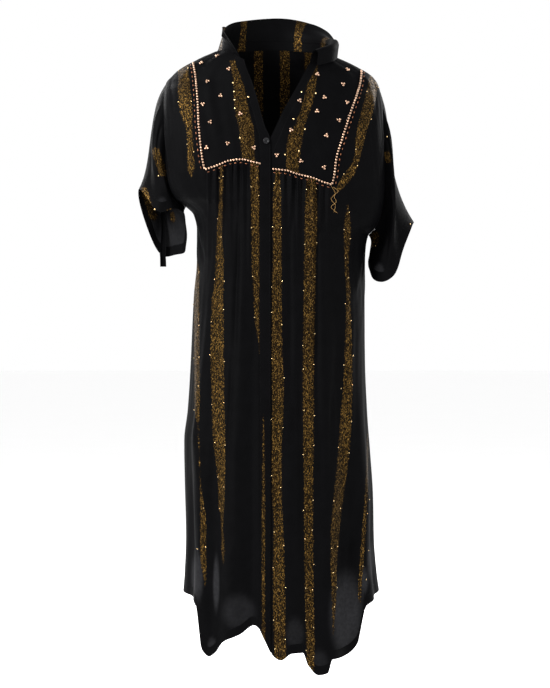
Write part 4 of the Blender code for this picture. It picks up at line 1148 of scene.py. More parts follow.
class Number:
    """A value inside a material, with sums that add their own nodes."""

    def __init__(self, finish, socket):
        self.finish = finish
        self.socket = socket

    def math(self, operation, *values):
        return self.finish.node("ShaderNodeMath", {"operation": operation}, dict(enumerate(values)))

    def __add__(self, other):
        return self.math("ADD", self, other)

    __radd__ = __add__

    def __sub__(self, other):
        return self.math("SUBTRACT", self, other)

    def __rsub__(self, other):
        return self.math("SUBTRACT", other, self)

    def __mul__(self, other):
        return self.math("MULTIPLY", self, other)

    __rmul__ = __mul__

    def __gt__(self, other):
        return self.math("GREATER_THAN", self, other)

    def __abs__(self):
        return self.math("ABSOLUTE", self)


class Finish:
    """A material while it is being made."""

    def __init__(self, name, colour, roughness, metallic=0.0, fixed=None):
        self.material = bpy.data.materials.new(name)
        self.material.use_nodes = True
        self.material.diffuse_color = (*colour, 1.0)
        self.tree = self.material.node_tree
        self.shader = self.tree.nodes["Principled BSDF"]
        self.set("Base Color", (*colour, 1.0))
        self.set("Roughness", roughness)
        self.set("Metallic", metallic)
        for name_of, value in (fixed or {}).items():
            self.set(name_of, value)
        self.place = self.node("ShaderNodeTexCoord", output="Object")

    def put(self, socket, value):
        """Give a socket a link or a plain value."""
        if isinstance(value, Number):
            self.tree.links.new(value.socket, socket)
        else:
            socket.default_value = value

    def set(self, name, value):
        """Set a socket of the shader."""
        self.put(self.shader.inputs[name], value)

    def node(self, kind, settings=None, inputs=None, output=0):
        """Add a node: first its settings, then the values or links of its sockets."""
        made = self.tree.nodes.new(kind)
        for name, value in (settings or {}).items():
            if name == "stops":
                for stop, (at, colour) in zip(made.color_ramp.elements, value):
                    stop.position = at
                    stop.color = colour
            else:
                setattr(made, name, value)
        for name, value in (inputs or {}).items():
            self.put(made.inputs[name], value)
        return Number(self, made.outputs[output])

    def mark(self, name):
        """Read a number that the mesh carries."""
        return self.node("ShaderNodeAttribute", {"attribute_name": name}, output="Fac")

    def noise(self, scale, detail=2.0, roughness=0.5):
        """Cloudy noise between about 0 and 1."""
        return self.node("ShaderNodeTexNoise", None,
                         {"Vector": self.place, "Scale": scale, "Detail": detail,
                          "Roughness": roughness}, "Fac")

    def slanted(self, turn, scale):
        """Noise drawn out into short slanted strokes."""
        turned = self.node("ShaderNodeMapping", None,
                           {"Vector": self.place, "Rotation": (0.0, turn, 0.0), "Scale": (1.0, 1.0, 0.28)})
        return self.node("ShaderNodeTexNoise", None,
                         {"Vector": turned, "Scale": scale, "Detail": 1.0, "Roughness": 0.5}, "Fac")

    def soft(self, value, low, high):
        """Rise softly from 0 to 1 between two values."""
        return self.node("ShaderNodeMapRange", {"interpolation_type": "SMOOTHSTEP"},
                         {"Value": value, "From Min": low, "From Max": high,
                          "To Min": 0.0, "To Max": 1.0}, "Result")

    def mix(self, share, first, second):
        """Mix two colours."""
        return self.node("ShaderNodeMix", {"data_type": "RGBA"},
                         {"Factor": share, 6: first, 7: second}, 2)

    def bump(self, height, strength, distance):
        """Let the surface rise and fall."""
        self.set("Normal", self.node("ShaderNodeBump", None,
                                     {"Height": height, "Strength": strength, "Distance": distance},
                                     "Normal"))


def cloth_finish():
    """Thin black crepe with woven glitter stripes, turned hems and painted backlight: grey colour where single
    cloth would let light through.
    """
    colours = bpy.context.scene.kaftan_colours
    black = (*colours.cloth, 1.0)
    finish = Finish("black_crepe", colours.cloth, 0.62, fixed={
        "Specular IOR Level": 0.02, "Sheen Weight": 0.003, "Sheen Roughness": 0.5,
        "Sheen Tint": (0.55, 0.58, 0.65, 1.0)})
    glitter = finish.mark("glitter")
    sewn = finish.mark("sewn")
    sheer = finish.mark("sheer")

    slub = finish.noise(38.0, 3.0)
    crepe = finish.noise(1400.0, 1.0)
    pucker = finish.noise(210.0, 3.0)
    cloud = finish.noise(9.0, 2.0)

    ragged = glitter + (finish.noise(330.0, 2.0) - 0.5) * 0.0060
    stripe = finish.soft(ragged, -0.0006, 0.0012)
    cell = finish.node("ShaderNodeTexVoronoi", None,
                       {"Vector": finish.place, "Scale": 880.0, "Randomness": 1.0}, "Color")
    shade = finish.node("ShaderNodeSeparateColor", None, {"Color": cell}, 0)
    chance = finish.node("ShaderNodeSeparateColor", None, {"Color": cell}, 1)
    strokes = finish.slanted(0.75, 720.0) * 0.5 + finish.slanted(-0.75, 720.0) * 0.5
    fleck = finish.soft(strokes + (chance - 0.5) * 0.20, 0.50, 0.60) * stripe

    # Painted backlight: where single cloth would let light through, the colour is painted grey with the weave
    # showing, except on turned hems.
    weave = 0.05 + 1.9 * finish.noise(150.0, 5.0, 0.75)
    lit = finish.soft(sewn, -0.0004, 0.0006) * sheer * weave
    painted_backlight_grey = finish.mix(cloud * 0.5, (*colours.sheer, 1.0), black)
    ground = finish.mix(lit * 0.8, finish.mix(slub * 0.5, black, (0.0020, 0.0020, 0.0024, 1.0)), painted_backlight_grey)
    brown = finish.mix(stripe * 0.85, ground, (*colours.stripe, 1.0))
    gold = finish.mix(finish.soft(shade, 0.35, 0.98), (0.018, 0.010, 0.0025, 1.0), (*colours.gold, 1.0))
    finish.set("Base Color", finish.mix(fleck, brown, gold))
    finish.set("Metallic", fleck * 0.7)
    finish.set("Roughness", 0.62 - fleck * 0.17)

    seam = 1.0 - finish.soft(abs(sewn), 0.0002, 0.0012)
    turned = finish.soft(sewn, 0.0008, -0.0008)
    height = crepe * 0.35 + pucker * 0.45 + fleck * shade * 0.5 + turned * 0.5 - seam * 0.9
    finish.bump(height, 0.6, 0.00045)
    return finish.material


def bead_finish(name, colour, roughness, spread):
    """Polished metal beads, no two of quite the same colour."""
    finish = Finish(name, colour, roughness, 1.0)
    tint = finish.soft(finish.noise(70.0, 1.0), 0.35, 0.65)
    finish.set("Base Color", finish.mix(tint, tuple(spread * part for part in colour) + (1.0,),
                                        (*colour, 1.0)))
    worn = finish.noise(900.0, 2.0)
    finish.set("Roughness", roughness - 0.06 + worn * 0.16)
    finish.bump(worn, 0.15, 0.0002)
    return finish.material


def thread_finish(name, colour, shine):
    """Twisted thread."""
    finish = Finish(name, colour, 0.7, shine, {"Specular IOR Level": 0.06})
    twist = finish.noise(2600.0, 1.0)
    dark = tuple(0.55 * part for part in colour) + (1.0,)
    finish.set("Base Color", finish.mix(twist, dark, (*colour, 1.0)))
    finish.bump(twist, 0.5, 0.0002)
    return finish.material


def button_finish():
    """Glossy black buttons with faint clouds and fine scratches."""
    colour = tuple(bpy.context.scene.kaftan_colours.button)
    finish = Finish("button_black", colour, 0.16, fixed={"Specular IOR Level": 0.10})
    cloud = finish.noise(240.0, 3.0)
    finish.set("Base Color", finish.mix(cloud, (*colour, 1.0), (0.012, 0.012, 0.013, 1.0)))
    scratch = finish.noise(1500.0, 2.0)
    finish.set("Roughness", 0.10 + scratch * 0.16)
    finish.bump(scratch, 0.08, 0.0001)
    return finish.material


def stage_finish():
    """Pale floor with a faint mottle."""
    finish = Finish("pale_floor", (0.97, 0.97, 0.97), 0.9, fixed={"Specular IOR Level": 0.1})
    finish.set("Base Color", finish.mix(finish.noise(2.0, 2.0), (0.96, 0.96, 0.96, 1.0),
                                        (0.98, 0.98, 0.98, 1.0)))
    return finish.material


def on_front(places):
    """Points of the front that lie on the sight lines to places seen from the camera."""
    places = np.array(places, dtype=float)
    depth = np.full(len(places), -0.1)
    for _ in range(6):
        far = (depth - EYE[1]) / -EYE[1]
        x = places[:, 0] * far
        z = EYE[2] + (places[:, 1] - EYE[2]) * far
        u = u_at(x, z)
        points = body(u, z, False)
        depth = points[:, 1]
    normals = facing(plain_body, u, z, False)
    on_band = (x > smooth(BANDS, TOP_SEAM, z)) & (x < smooth(BANDS, TOP_FREE, z))
    return points + np.where(on_band, BAND_LIFT, 0.0)[:, None] * normals, normals


def even_steps(points, normals, pitch):
    """Places a pitch apart along a line of points, with the line's direction and outward direction."""
    length = np.concatenate([[0], np.cumsum(np.linalg.norm(np.diff(points, axis=0), axis=-1))])
    count = max(2, int(round(length[-1] / pitch)))
    at = (np.arange(count) + 0.5) * length[-1] / count
    places = np.stack([np.interp(at, length, points[:, k]) for k in range(3)], axis=-1)
    out = np.stack([np.interp(at, length, normals[:, k]) for k in range(3)], axis=-1)
    out = out / np.linalg.norm(out, axis=-1, keepdims=True)
    return places, np.gradient(places, axis=0), out


def set_down(place, along, out, size):
    """Transform that sets a small shape on a surface, its length along a line."""
    out = Vector(out).normalized()
    across = out.cross(Vector(along)).normalized()
    along = across.cross(out)
    turn = Matrix((along, across, out)).transposed().to_4x4()
    return Matrix.Translation(place) @ turn @ Matrix.Diagonal((*size, 1.0))


def add_copies(shape, seats, maker, **form):
    """Make a small shape at each seat, a few at a time, because the makers slow as a mesh grows."""
    for start in range(0, len(seats), 40):
        few = bmesh.new()
        for seat in seats[start:start + 40]:
            maker(few, radius=1.0, matrix=seat, **form)
        mesh = bpy.data.meshes.new("few")
        few.to_mesh(mesh)
        few.free()
        shape.from_mesh(mesh)
        bpy.data.meshes.remove(mesh)


def add_beads(shape, places, along, out, size, sink=0.35, sides=8):
    """Add small round shapes that sit on a surface."""
    seats = [set_down(Vector(place) + Vector(direction) * size[2] * (1 - sink), line, direction, size)
             for place, line, direction in zip(places, along, out)]
    add_copies(shape, seats, bmesh.ops.create_uvsphere, u_segments=sides, v_segments=max(4, sides - 2))


def add_stitches(shape, points, normals, pitch, size):
    """Add a row of thread stitches along a line."""
    seats = [set_down(Vector(place) + Vector(direction) * size[2] * 0.5, line, direction, size)
             for place, line, direction in zip(*even_steps(points, normals, pitch))]
    add_copies(shape, seats, bmesh.ops.create_icosphere, subdivisions=1)


def small_piece(name, shape, material):
    """Finish a piece made of many small smooth shapes."""
    for face in shape.faces:
        face.smooth = True
    piece = finish_object(name, shape, material)
    return piece


def yoke_border(side):
    """Line of the yoke's bead border: down its outer edge, then along its lower edge."""
    table, foot_table = (YOKE_RIGHT_SIDE, YOKE_RIGHT_FOOT) if side < 0 else (YOKE_LEFT_SIDE, YOKE_LEFT_FOOT)
    outer = bead_edge(side, table)[2:]
    foot = foot_edge(foot_table)
    return outer, foot if side < 0 else foot[::-1]


def on_body(edge, back=False):
    """Points and outward directions of an edge given in (u, z)."""
    return body(edge[:, 0], edge[:, 1], back), facing(plain_body, edge[:, 0], edge[:, 1], back)


def row_at(grid, normals, distance):
    """Line on a grid at a distance above its last row."""
    away = from_row(grid)
    columns = range(grid.shape[1])
    points = [[np.interp(distance, away[::-1, c], grid[::-1, c, k]) for k in range(3)] for c in columns]
    out = [[np.interp(distance, away[::-1, c], normals[::-1, c, k]) for k in range(3)] for c in columns]
    return np.array(points), np.array(out)


HEM_TURN = 0.018
CUFF_TURN = 0.020
BAND_INSET = 0.0022
COLLAR_INSET = 0.0040


class KaftanSizes(PropertyGroup):
    """Sizes that a user would change."""

    cloth: FloatProperty(name="Cloth thickness", description="Thickness of the shown cloth",
                         default=0.0009, min=0.0003, max=0.003, unit="LENGTH", precision=4)
    bead_pitch: FloatProperty(name="Bead spacing", description="Distance between beads of the border",
                              default=0.0058, min=0.004, max=0.02, unit="LENGTH", precision=4)
    bead: FloatProperty(name="Bead size", description="Diameter of the border beads",
                        default=0.0049, min=0.001, max=0.008, unit="LENGTH", precision=4)
    button: FloatProperty(name="Button size", description="Diameter of the buttons",
                          default=0.0124, min=0.006, max=0.02, unit="LENGTH", precision=4)
    stitch: FloatProperty(name="Stitch length", description="Distance between sewing stitches",
                          default=0.0030, min=0.001, max=0.01, unit="LENGTH", precision=4)
    seed: IntProperty(name="Scatter", description="Start of the scatter of loose sequins",
                      default=7, min=0)


class KaftanColours(PropertyGroup):
    """Colours that a user would change."""

    cloth: FloatVectorProperty(name="Cloth", description="Colour of the cloth", subtype="COLOR",
                               size=3, default=(0.0004, 0.0004, 0.0005), min=0, max=1)
    # Grey that paints the light coming through single cloth.
    sheer: FloatVectorProperty(name="Sheer cloth", description="Colour where light comes through",
                               subtype="COLOR", size=3, default=(0.018, 0.018, 0.0195), min=0, max=1)
    stripe: FloatVectorProperty(name="Stripe", description="Ground colour of the stripes",
                                subtype="COLOR", size=3, default=(0.0036, 0.0021, 0.0006), min=0, max=1)
    gold: FloatVectorProperty(name="Glitter", description="Colour of the glitter yarn", subtype="COLOR",
                              size=3, default=(0.165, 0.092, 0.022), min=0, max=1)
    bead: FloatVectorProperty(name="Beads", description="Colour of the beads", subtype="COLOR",
                              size=3, default=(0.50, 0.32, 0.22), min=0, max=1)
    thread: FloatVectorProperty(name="Bead thread", description="Colour of the long beads and thread",
                                subtype="COLOR", size=3, default=(0.24, 0.095, 0.050), min=0, max=1)
    button: FloatVectorProperty(name="Buttons", description="Colour of the buttons", subtype="COLOR",
                                size=3, default=(0.004, 0.004, 0.0045), min=0, max=1)


def cloth_material():
    """The cloth's material, made once."""
    return bpy.data.materials.get("black_crepe") or cloth_finish()


class KAFTAN_OT_fronts(Operator):
    """Make the two front panels"""

    bl_idname = "kaftan.fronts"
    bl_label = "Front panels"

    def execute(self, context):
        for side, levels, side_table, foot_table, column, node in (
                (-1, RIGHT_LEVELS, YOKE_RIGHT_SIDE, YOKE_RIGHT_FOOT, UNDER_FREE, "front_right"),
                (1, LEFT_LEVELS, YOKE_LEFT_SIDE, YOKE_LEFT_FOOT, UNDER_SEAM, "front_left")):
            skirt, strip = front_patches(side, levels, side_table, foot_table, BANDS[-1][column])
            stripes = SKIRT_STRIPES
            # Painted backlight: grey colour at the front's round places where light would come through.
            skirt_points, skirt_marks = body_patch(skirt, stripes, sheer=PAINTED_BACKLIGHT_FRONT)
            skirt_marks["sewn"] = from_row(skirt_points) - HEM_TURN
            upper = np.maximum(skirt_marks["glitter"],
                               stripe_depth(SIDE_STRIPES, skirt_points[..., 0], skirt_points[..., 2]))
            skirt_marks["glitter"] = upper
            strip_points, strip_marks = body_patch(strip, SIDE_STRIPES)
            cloth_piece(node + "_cloth", node, [(skirt_points, skirt_marks), (strip_points, strip_marks)],
                        cloth_material())
        return {"FINISHED"}


class KAFTAN_OT_back(Operator):
    """Make the back panel"""

    bl_idname = "kaftan.back"
    bl_label = "Back panel"

    def execute(self, context):
        # Painted backlight: grey colour at the back's round places where light would come through.
        points, values = body_patch(back_patch(), BACK_STRIPES, back=True, sheer=PAINTED_BACKLIGHT_BACK)
        values["sewn"] = from_row(points) - HEM_TURN
        cloth_piece("back_cloth", "back", [(points, values)], cloth_material(),
                    turned=True)
        return {"FINISHED"}


class KAFTAN_OT_yokes(Operator):
    """Make both halves of the yoke"""

    bl_idname = "kaftan.yokes"
    bl_label = "Yoke"

    def execute(self, context):
        for node, patch in (("yoke_right", yoke_right_patch()), ("yoke_left", yoke_left_patch())):
            cloth_piece(node + "_cloth", node, [body_patch(patch, YOKE_STRIPES)], cloth_material())
        return {"FINISHED"}


class KAFTAN_OT_bands(Operator):
    """Make the two front bands"""

    bl_idname = "kaftan.bands"
    bl_label = "Front bands"

    def execute(self, context):
        right_foot, left_foot = YOKE_RIGHT_FOOT[-1][1], YOKE_LEFT_FOOT[0][1]
        for node, patch, lift in (
                ("placket_right", band_patch(TOP_SEAM, right_foot, TOP_FREE, right_foot), BAND_LIFT),
                ("placket_left", band_patch(UNDER_FREE, right_foot, UNDER_SEAM, left_foot), 0.0)):
            points, values = body_patch(patch, BAND_STRIPES, lift=lift)
            edges = np.minimum(from_column(points), from_column(points, last=False))
            values["sewn"] = np.minimum(edges - BAND_INSET, from_row(points) - HEM_TURN)
            cloth_piece(node + "_cloth", node, [(points, values)], cloth_material())
        return {"FINISHED"}


class KAFTAN_OT_sleeves(Operator):
    """Make the two sleeves"""

    bl_idname = "kaftan.sleeves"
    bl_label = "Sleeves"

    def execute(self, context):
        for side, levels, table, stripes, node in (
                (-1, RIGHT_LEVELS, RIGHT_SLEEVE_HEM, RIGHT_SLEEVE_STRIPES, "sleeve_right"),
                (1, LEFT_LEVELS, LEFT_SLEEVE_HEM, LEFT_SLEEVE_STRIPES, "sleeve_left")):
            grid, _ = sleeve_grid(side, finer_levels(levels), table, 6 * FINE + 1, True)
            grid = np.concatenate([grid, grid[:, :1]], axis=1)
            x, z = grid[..., 0], grid[..., 2]
            sewn = from_row(grid) - CUFF_TURN
            # Painted backlight: grey colour near the back of the cuff and at the sleeve's round places where light
            # would come through.
            sheer = 0.55 * ramp(0.16, 0.02, from_row(grid)) * ramp(-0.01, 0.02, grid[..., 1])
            sheer = np.maximum(sheer, painted_backlight_share(PAINTED_BACKLIGHT_SLEEVE, x, z) * ramp(0.01, -0.01, grid[..., 1]))
            values = marks(x.shape, glitter=patch_depth(stripes, x, z), sewn=sewn, sheer=sheer)
            cloth_piece(node + "_cloth", node, [(grid, values)], cloth_material(),
                        turned=side > 0)
        return {"FINISHED"}


class KAFTAN_OT_collar(Operator):
    """Make the collar's stand and leaf"""

    bl_idname = "kaftan.collar"
    bl_label = "Collar"

    def execute(self, context):
        stand, leaf = collar_grids()
        for node, coarse, rows in (("collar_stand", stand, 2 * FINE + 1), ("collar", leaf, 4 * FINE + 1)):
            grid = fine_grid(coarse, rows, 20 * FINE + 1)[::-1, ::-1]
            share = np.linspace(1, 0, grid.shape[1])[None, :] + 0 * grid[..., 0]
            away = from_row(np.swapaxes(grid, 0, 1)).T
            length = away.max()
            glitter = -FAR + 0 * share
            for place in COLLAR_STRIPES:
                glitter = np.maximum(glitter, COLLAR_STRIPE_WIDTH / 2 - np.abs(share - place) * length)
            ends = np.minimum(from_column(grid), from_column(grid, last=False))
            sewn = np.minimum(from_row(grid, last=False), ends) - COLLAR_INSET
            values = marks(share.shape, glitter=glitter, sewn=sewn)
            cloth_piece(node + "_cloth", node, [(grid, values)], cloth_material())
        return {"FINISHED"}


class KAFTAN_OT_straps(Operator):
    """Make the roll-up straps of the sleeves"""

    bl_idname = "kaftan.straps"
    bl_label = "Roll-up straps"

    def execute(self, context):
        for side, levels, table, node in (
                (-1, RIGHT_LEVELS, RIGHT_SLEEVE_HEM, "sleeve_tab_right"),
                (1, LEFT_LEVELS, LEFT_SLEEVE_HEM, "sleeve_tab_left")):
            grid = fine_grid(tab_strip(side, levels, table), 7 * FINE + 1, 2 * FINE + 1)
            ends = np.minimum(from_column(grid), from_column(grid, last=False))
            values = marks(grid.shape[:2], sewn=np.minimum(ends, from_row(grid)) - BAND_INSET)
            cloth_piece(node + "_cloth", node, [(grid, values)], cloth_material())
        return {"FINISHED"}


# Profile of half a button, from its middle to its rim and round to its back.
# columns: share of the radius, height
BUTTON_PROFILE = (
    (0.00, 0.0013),
    (0.45, 0.0013),
    (0.62, 0.0016),
    (0.74, 0.0024),
    (0.86, 0.0028),
    (0.96, 0.0024),
    (1.00, 0.0015),
    (0.96, 0.0006),
    (0.80, 0.0000),
    (0.00, 0.0000),
)


class KAFTAN_OT_buttons(Operator):
    """Make the buttons"""

    bl_idname = "kaftan.buttons"
    bl_label = "Buttons"

    def execute(self, context):
        radius = context.scene.kaftan_sizes.button / 2
        glossy = button_finish()
        thread = thread_finish("button_thread", (0.006, 0.006, 0.0065), 0.0)
        for node in ("neck_button", "sleeve_button_right", "sleeve_button_left"):
            low, high = (np.array(corner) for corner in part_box(node))
            centre = (low + high) / 2
            out = self.direction(node, centre)
            shape = bmesh.new()
            line = [shape.verts.new((share * radius, 0, height)) for share, height in BUTTON_PROFILE]
            for first, second in zip(line, line[1:]):
                shape.edges.new((first, second))
            bmesh.ops.spin(shape, geom=shape.verts[:] + shape.edges[:], cent=(0, 0, 0), axis=(0, 0, 1),
                           angle=2 * math.pi, steps=40, use_merge=True)
            bmesh.ops.remove_doubles(shape, verts=shape.verts, dist=0.00001)
            bmesh.ops.recalc_face_normals(shape, faces=shape.faces)
            base = Vector(centre) - Vector(out) * 0.0013
            seat = set_down(base, (0.2, 0.1, 1.0), out, (1, 1, 1))
            bmesh.ops.transform(shape, matrix=seat, verts=shape.verts)
            button = small_piece(node + "_disc", shape, glossy)
            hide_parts(node)
            sewing = bmesh.new()
            for offset in (-0.0009, 0.0009):
                place = seat @ Vector((0, offset, 0.0015))
                line = seat.to_3x3() @ Vector((1, 0, 0))
                bmesh.ops.create_icosphere(sewing, subdivisions=2, radius=1.0, matrix=set_down(
                    place, line, out, (0.0019, 0.0004, 0.0004)))
            small_piece(node + "_thread", sewing, thread)
        return {"FINISHED"}

    @staticmethod
    def direction(node, centre):
        """Way that a button faces."""
        if node == "neck_button":
            u = u_at(centre[0], centre[2])
            return facing(plain_body, u, centre[2], False)
        side, levels, table = ((-1, RIGHT_LEVELS, RIGHT_SLEEVE_HEM) if centre[0] < 0
                               else (1, LEFT_LEVELS, LEFT_SLEEVE_HEM))
        grid, normals = sleeve_grid(side, levels, table, SLEEVE_ROWS, False)
        return normals[3, -2 if side < 0 else 1]


class KAFTAN_OT_beads(Operator):
    """Sew the beads and sequins on"""

    bl_idname = "kaftan.beads"
    bl_label = "Beads and sequins"

    def execute(self, context):
        sizes, colours = context.scene.kaftan_sizes, context.scene.kaftan_colours
        rose = bead_finish("rose_gold_beads", tuple(colours.bead), 0.28, 0.62)
        copper = bead_finish("copper_beads", tuple(colours.thread), 0.40, 0.5)
        shine = bead_finish("gold_sequins", (0.86, 0.62, 0.30), 0.22, 0.7)
        radius = sizes.bead / 2
        round_beads, long_beads = bmesh.new(), bmesh.new()
        for side in (-1, 1):
            for edge in yoke_border(side):
                points, normals = on_body(edge)
                places, along, out = even_steps(points, normals, sizes.bead_pitch)
                add_beads(round_beads, places, along, out, (radius, radius, radius * 0.85))
                places, along, out = even_steps(points, normals, 0.0115)
                across = np.cross(out, along) * side
                across = across / np.linalg.norm(across, axis=-1, keepdims=True)
                places = places + 0.0068 * across
                add_beads(long_beads, places, along, out, (0.0027, 0.0011, 0.0011))
        points, normals = on_front(CLUSTERS)
        for index, (point, normal) in enumerate(zip(points, normals)):
            start = 0.4 + 1.3 * index
            for k in range(3):
                angle = start + 2 * math.pi * k / 3
                side_way = Vector((math.cos(angle), 0, math.sin(angle)))
                place = Vector(point) + 0.0027 * (side_way - Vector(normal) * side_way.dot(Vector(normal)))
                add_beads(round_beads, [place], [(0, 0, 1)], [normal], (0.0023, 0.0023, 0.0020))
            add_beads(long_beads, [point], [(0, 0, 1)], [normal], (0.0012, 0.0012, 0.0012))
        small_piece("border_beads", round_beads, rose)
        small_piece("border_long_beads", long_beads, copper)

        sequins = bmesh.new()
        points, normals = on_front(SINGLES)
        add_beads(sequins, points, [(0, 0, 1)] * len(points), normals, (0.0019, 0.0019, 0.0012))
        chance = np.random.RandomState(sizes.seed)
        for stripes, back in ((SKIRT_STRIPES, False), (SIDE_STRIPES, False), (BACK_STRIPES, True)):
            places = []
            for stripe in stripes:
                low, high = min(row[0] for row in stripe), max(row[0] for row in stripe)
                for side in (-1, 1):
                    z = high - 0.02 - chance.uniform(0, 0.05)
                    while z > low + 0.02:
                        half = float(smooth(stripe, 2, z)) / 2
                        x = float(smooth(stripe, 1, z)) + side * (half + chance.uniform(-0.002, 0.0015))
                        if half > 0.003:
                            places.append((x, z))
                        z -= chance.uniform(0.045, 0.120)
            x, z = np.array(places).T
            u = u_at(x, z, back)
            edge = np.stack([u, z], axis=-1)[np.abs(u) < 0.97]
            points, normals = on_body(edge, back)
            add_beads(sequins, points, [(0, 0, 1)] * len(points), normals, (0.0012, 0.0012, 0.0007), sides=6)
        for side, levels, table in ((-1, RIGHT_LEVELS, RIGHT_SLEEVE_HEM), (1, LEFT_LEVELS, LEFT_SLEEVE_HEM)):
            grid, normals = sleeve_grid(side, finer_levels(levels), table, 6 * FINE + 1, True)
            for x, z in SLEEVE_SEQUINS:
                if x * side > 0:
                    away = np.hypot(grid[..., 0] - x, grid[..., 2] - z) + FAR * (normals[..., 1] > -0.1)
                    nearest = np.unravel_index(np.argmin(away), away.shape)
                    add_beads(sequins, [grid[nearest]], [(0, 0, 1)], [normals[nearest]],
                              (0.0016, 0.0016, 0.0009))
        small_piece("sequins", sequins, shine)
        return {"FINISHED"}

class KAFTAN_OT_sewing(Operator):
    """Sew the edges, hems and loose threads"""

    bl_idname = "kaftan.sewing"
    bl_label = "Sewing"

    def execute(self, context):
        pitch = context.scene.kaftan_sizes.stitch * 1
        size = (pitch * 0.36, 0.00022, 0.00022)
        black = thread_finish("black_thread", (0.003, 0.003, 0.0033), 0.0)
        stitches = bmesh.new()
        right_foot, left_foot = YOKE_RIGHT_FOOT[-1][1], YOKE_LEFT_FOOT[0][1]
        patch = band_patch(TOP_SEAM, right_foot, TOP_FREE, right_foot)
        points = body(patch[..., 0], patch[..., 1], False)
        normals = facing(plain_body, patch[..., 0], patch[..., 1], False)
        points = points + BAND_LIFT * normals
        for grid, out in ((points, normals), (points[:, ::-1], normals[:, ::-1])):
            line, ways = row_at(np.swapaxes(grid, 0, 1), np.swapaxes(out, 0, 1), BAND_INSET)
            add_stitches(stitches, line, ways, pitch, size)
        for side, levels, side_table, foot_table, column in (
                (-1, RIGHT_LEVELS, YOKE_RIGHT_SIDE, YOKE_RIGHT_FOOT, UNDER_FREE),
                (1, LEFT_LEVELS, YOKE_LEFT_SIDE, YOKE_LEFT_FOOT, UNDER_SEAM)):
            skirt = front_patches(side, levels, side_table, foot_table, BANDS[-1][column])[0]
            points, normals = self.patch_points(skirt, False)
            line, ways = row_at(points, normals, HEM_TURN)
            add_stitches(stitches, line, ways, pitch, size)
        points, normals = self.patch_points(back_patch(), True)
        line, ways = row_at(points, normals, HEM_TURN)
        add_stitches(stitches, line, ways, pitch, size)
        for side, levels, table in ((-1, RIGHT_LEVELS, RIGHT_SLEEVE_HEM), (1, LEFT_LEVELS, LEFT_SLEEVE_HEM)):
            grid, normals = sleeve_grid(side, finer_levels(levels), table, 6 * FINE + 1, True)
            line, ways = row_at(grid, normals, CUFF_TURN)
            add_stitches(stitches, line, ways, pitch, size)
        small_piece("stitching", stitches, black)

        gold = thread_finish("loose_gold_thread", (0.42, 0.25, 0.09), 0.6)
        threads = bmesh.new()
        for run in LOOSE_THREADS:
            points, normals = on_front(run)
            line = curve(points + 0.0009 * normals, 10 * len(points))
            ways = curve(normals, 10 * len(points))
            add_stitches(threads, line, ways, 0.0011, (0.0010, 0.0003, 0.0003))
        small_piece("loose_threads", threads, gold)
        return {"FINISHED"}

    @staticmethod
    def patch_points(patch, back):
        """Points and outward directions of a patch of the body."""
        return (body(patch[..., 0], patch[..., 1], back),
                facing(plain_body, patch[..., 0], patch[..., 1], back))


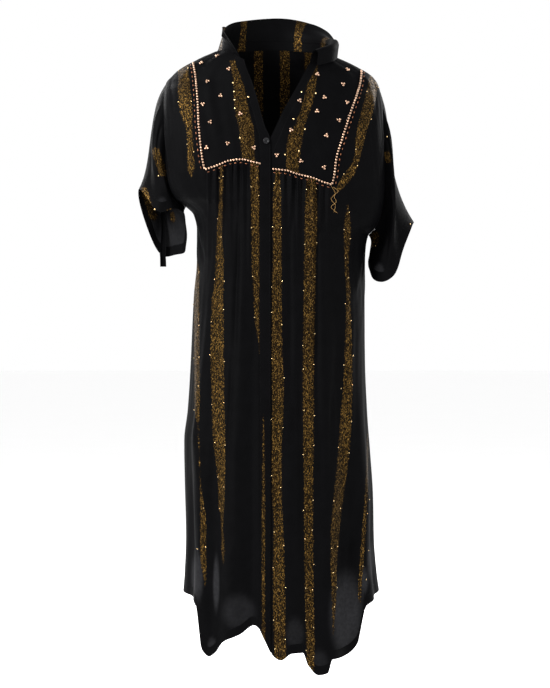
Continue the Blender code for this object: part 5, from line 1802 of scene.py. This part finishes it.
class KAFTAN_OT_stage(Operator):
    """Set the floor, the lights and the camera"""

    bl_idname = "kaftan.stage"
    bl_label = "Stage"

    def execute(self, context):
        scene = context.scene
        shape = bmesh.new()
        bmesh.ops.create_circle(shape, cap_ends=True, radius=60.0, segments=128,
                                matrix=Matrix.Translation((0, 0, FLOOR)))
        mesh = bpy.data.meshes.new("floor")
        shape.to_mesh(mesh)
        shape.free()
        mesh.materials.append(stage_finish())
        floor = bpy.data.objects.new("floor", mesh)
        scene.collection.objects.link(floor)

        world = bpy.data.worlds.new("studio")
        world.use_nodes = True
        world.node_tree.nodes["Background"].inputs["Color"].default_value = (1.0, 1.0, 1.0, 1.0)
        world.node_tree.nodes["Background"].inputs["Strength"].default_value = 1.0
        scene.world = world
        scene.view_settings.view_transform = "Standard"
        for name, place, power, size in (("key", (-3.0, -2.2, 1.7), 360, 1.2),
                                         ("fill", (3.0, -2.4, 0.6), 90, 2.0),
                                         ("back_left", (-2.6, 2.6, 1.4), 150, 2.0),
                                         ("back_right", (2.8, 2.4, 1.2), 130, 2.0)):
            light = bpy.data.lights.new(name, "AREA")
            light.energy = power
            light.size = size
            lamp = bpy.data.objects.new(name, light)
            lamp.location = place
            aim = Vector((0, 0, -0.55)) - Vector(place)
            lamp.rotation_euler = aim.to_track_quat("-Z", "Y").to_euler()
            scene.collection.objects.link(lamp)

        lens = bpy.data.cameras.new("camera")
        lens.lens = LENS
        lens.sensor_width = 36
        camera = bpy.data.objects.new("camera", lens)
        camera.location = EYE
        camera.rotation_euler = (math.pi / 2, 0, 0)
        scene.collection.objects.link(camera)
        scene.camera = camera
        return {"FINISHED"}


class KAFTAN_PT_panel(Panel):
    """Pieces of the kaftan"""

    bl_idname = "KAFTAN_PT_panel"
    bl_label = "Kaftan"
    bl_space_type = "VIEW_3D"
    bl_region_type = "UI"
    bl_category = "Kaftan"

    def draw(self, context):
        for group in (context.scene.kaftan_sizes, context.scene.kaftan_colours):
            for name in group.__annotations__:
                self.layout.prop(group, name)
        for maker in OPERATORS:
            self.layout.operator(maker.bl_idname)


OPERATORS = (KAFTAN_OT_fronts, KAFTAN_OT_back, KAFTAN_OT_yokes, KAFTAN_OT_bands, KAFTAN_OT_sleeves,
             KAFTAN_OT_collar, KAFTAN_OT_straps, KAFTAN_OT_buttons, KAFTAN_OT_beads,
             KAFTAN_OT_sewing, KAFTAN_OT_stage)
CLASSES = (KaftanSizes, KaftanColours) + OPERATORS + (KAFTAN_PT_panel,)


def register():
    """Register the classes and the settings."""
    for kind in CLASSES:
        bpy.utils.register_class(kind)
    bpy.types.Scene.kaftan_sizes = PointerProperty(type=KaftanSizes)
    bpy.types.Scene.kaftan_colours = PointerProperty(type=KaftanColours)


def unregister():
    """Take the classes and the settings away again."""
    del bpy.types.Scene.kaftan_sizes
    del bpy.types.Scene.kaftan_colours
    for kind in reversed(CLASSES):
        bpy.utils.unregister_class(kind)


def main():
    """Make every piece."""
    register()
    bpy.ops.kaftan.fronts()
    bpy.ops.kaftan.back()
    bpy.ops.kaftan.yokes()
    bpy.ops.kaftan.bands()
    bpy.ops.kaftan.sleeves()
    bpy.ops.kaftan.collar()
    bpy.ops.kaftan.straps()
    bpy.ops.kaftan.buttons()
    bpy.ops.kaftan.beads()
    bpy.ops.kaftan.sewing()
    bpy.ops.kaftan.stage()


if __name__ == "__main__":
    main()
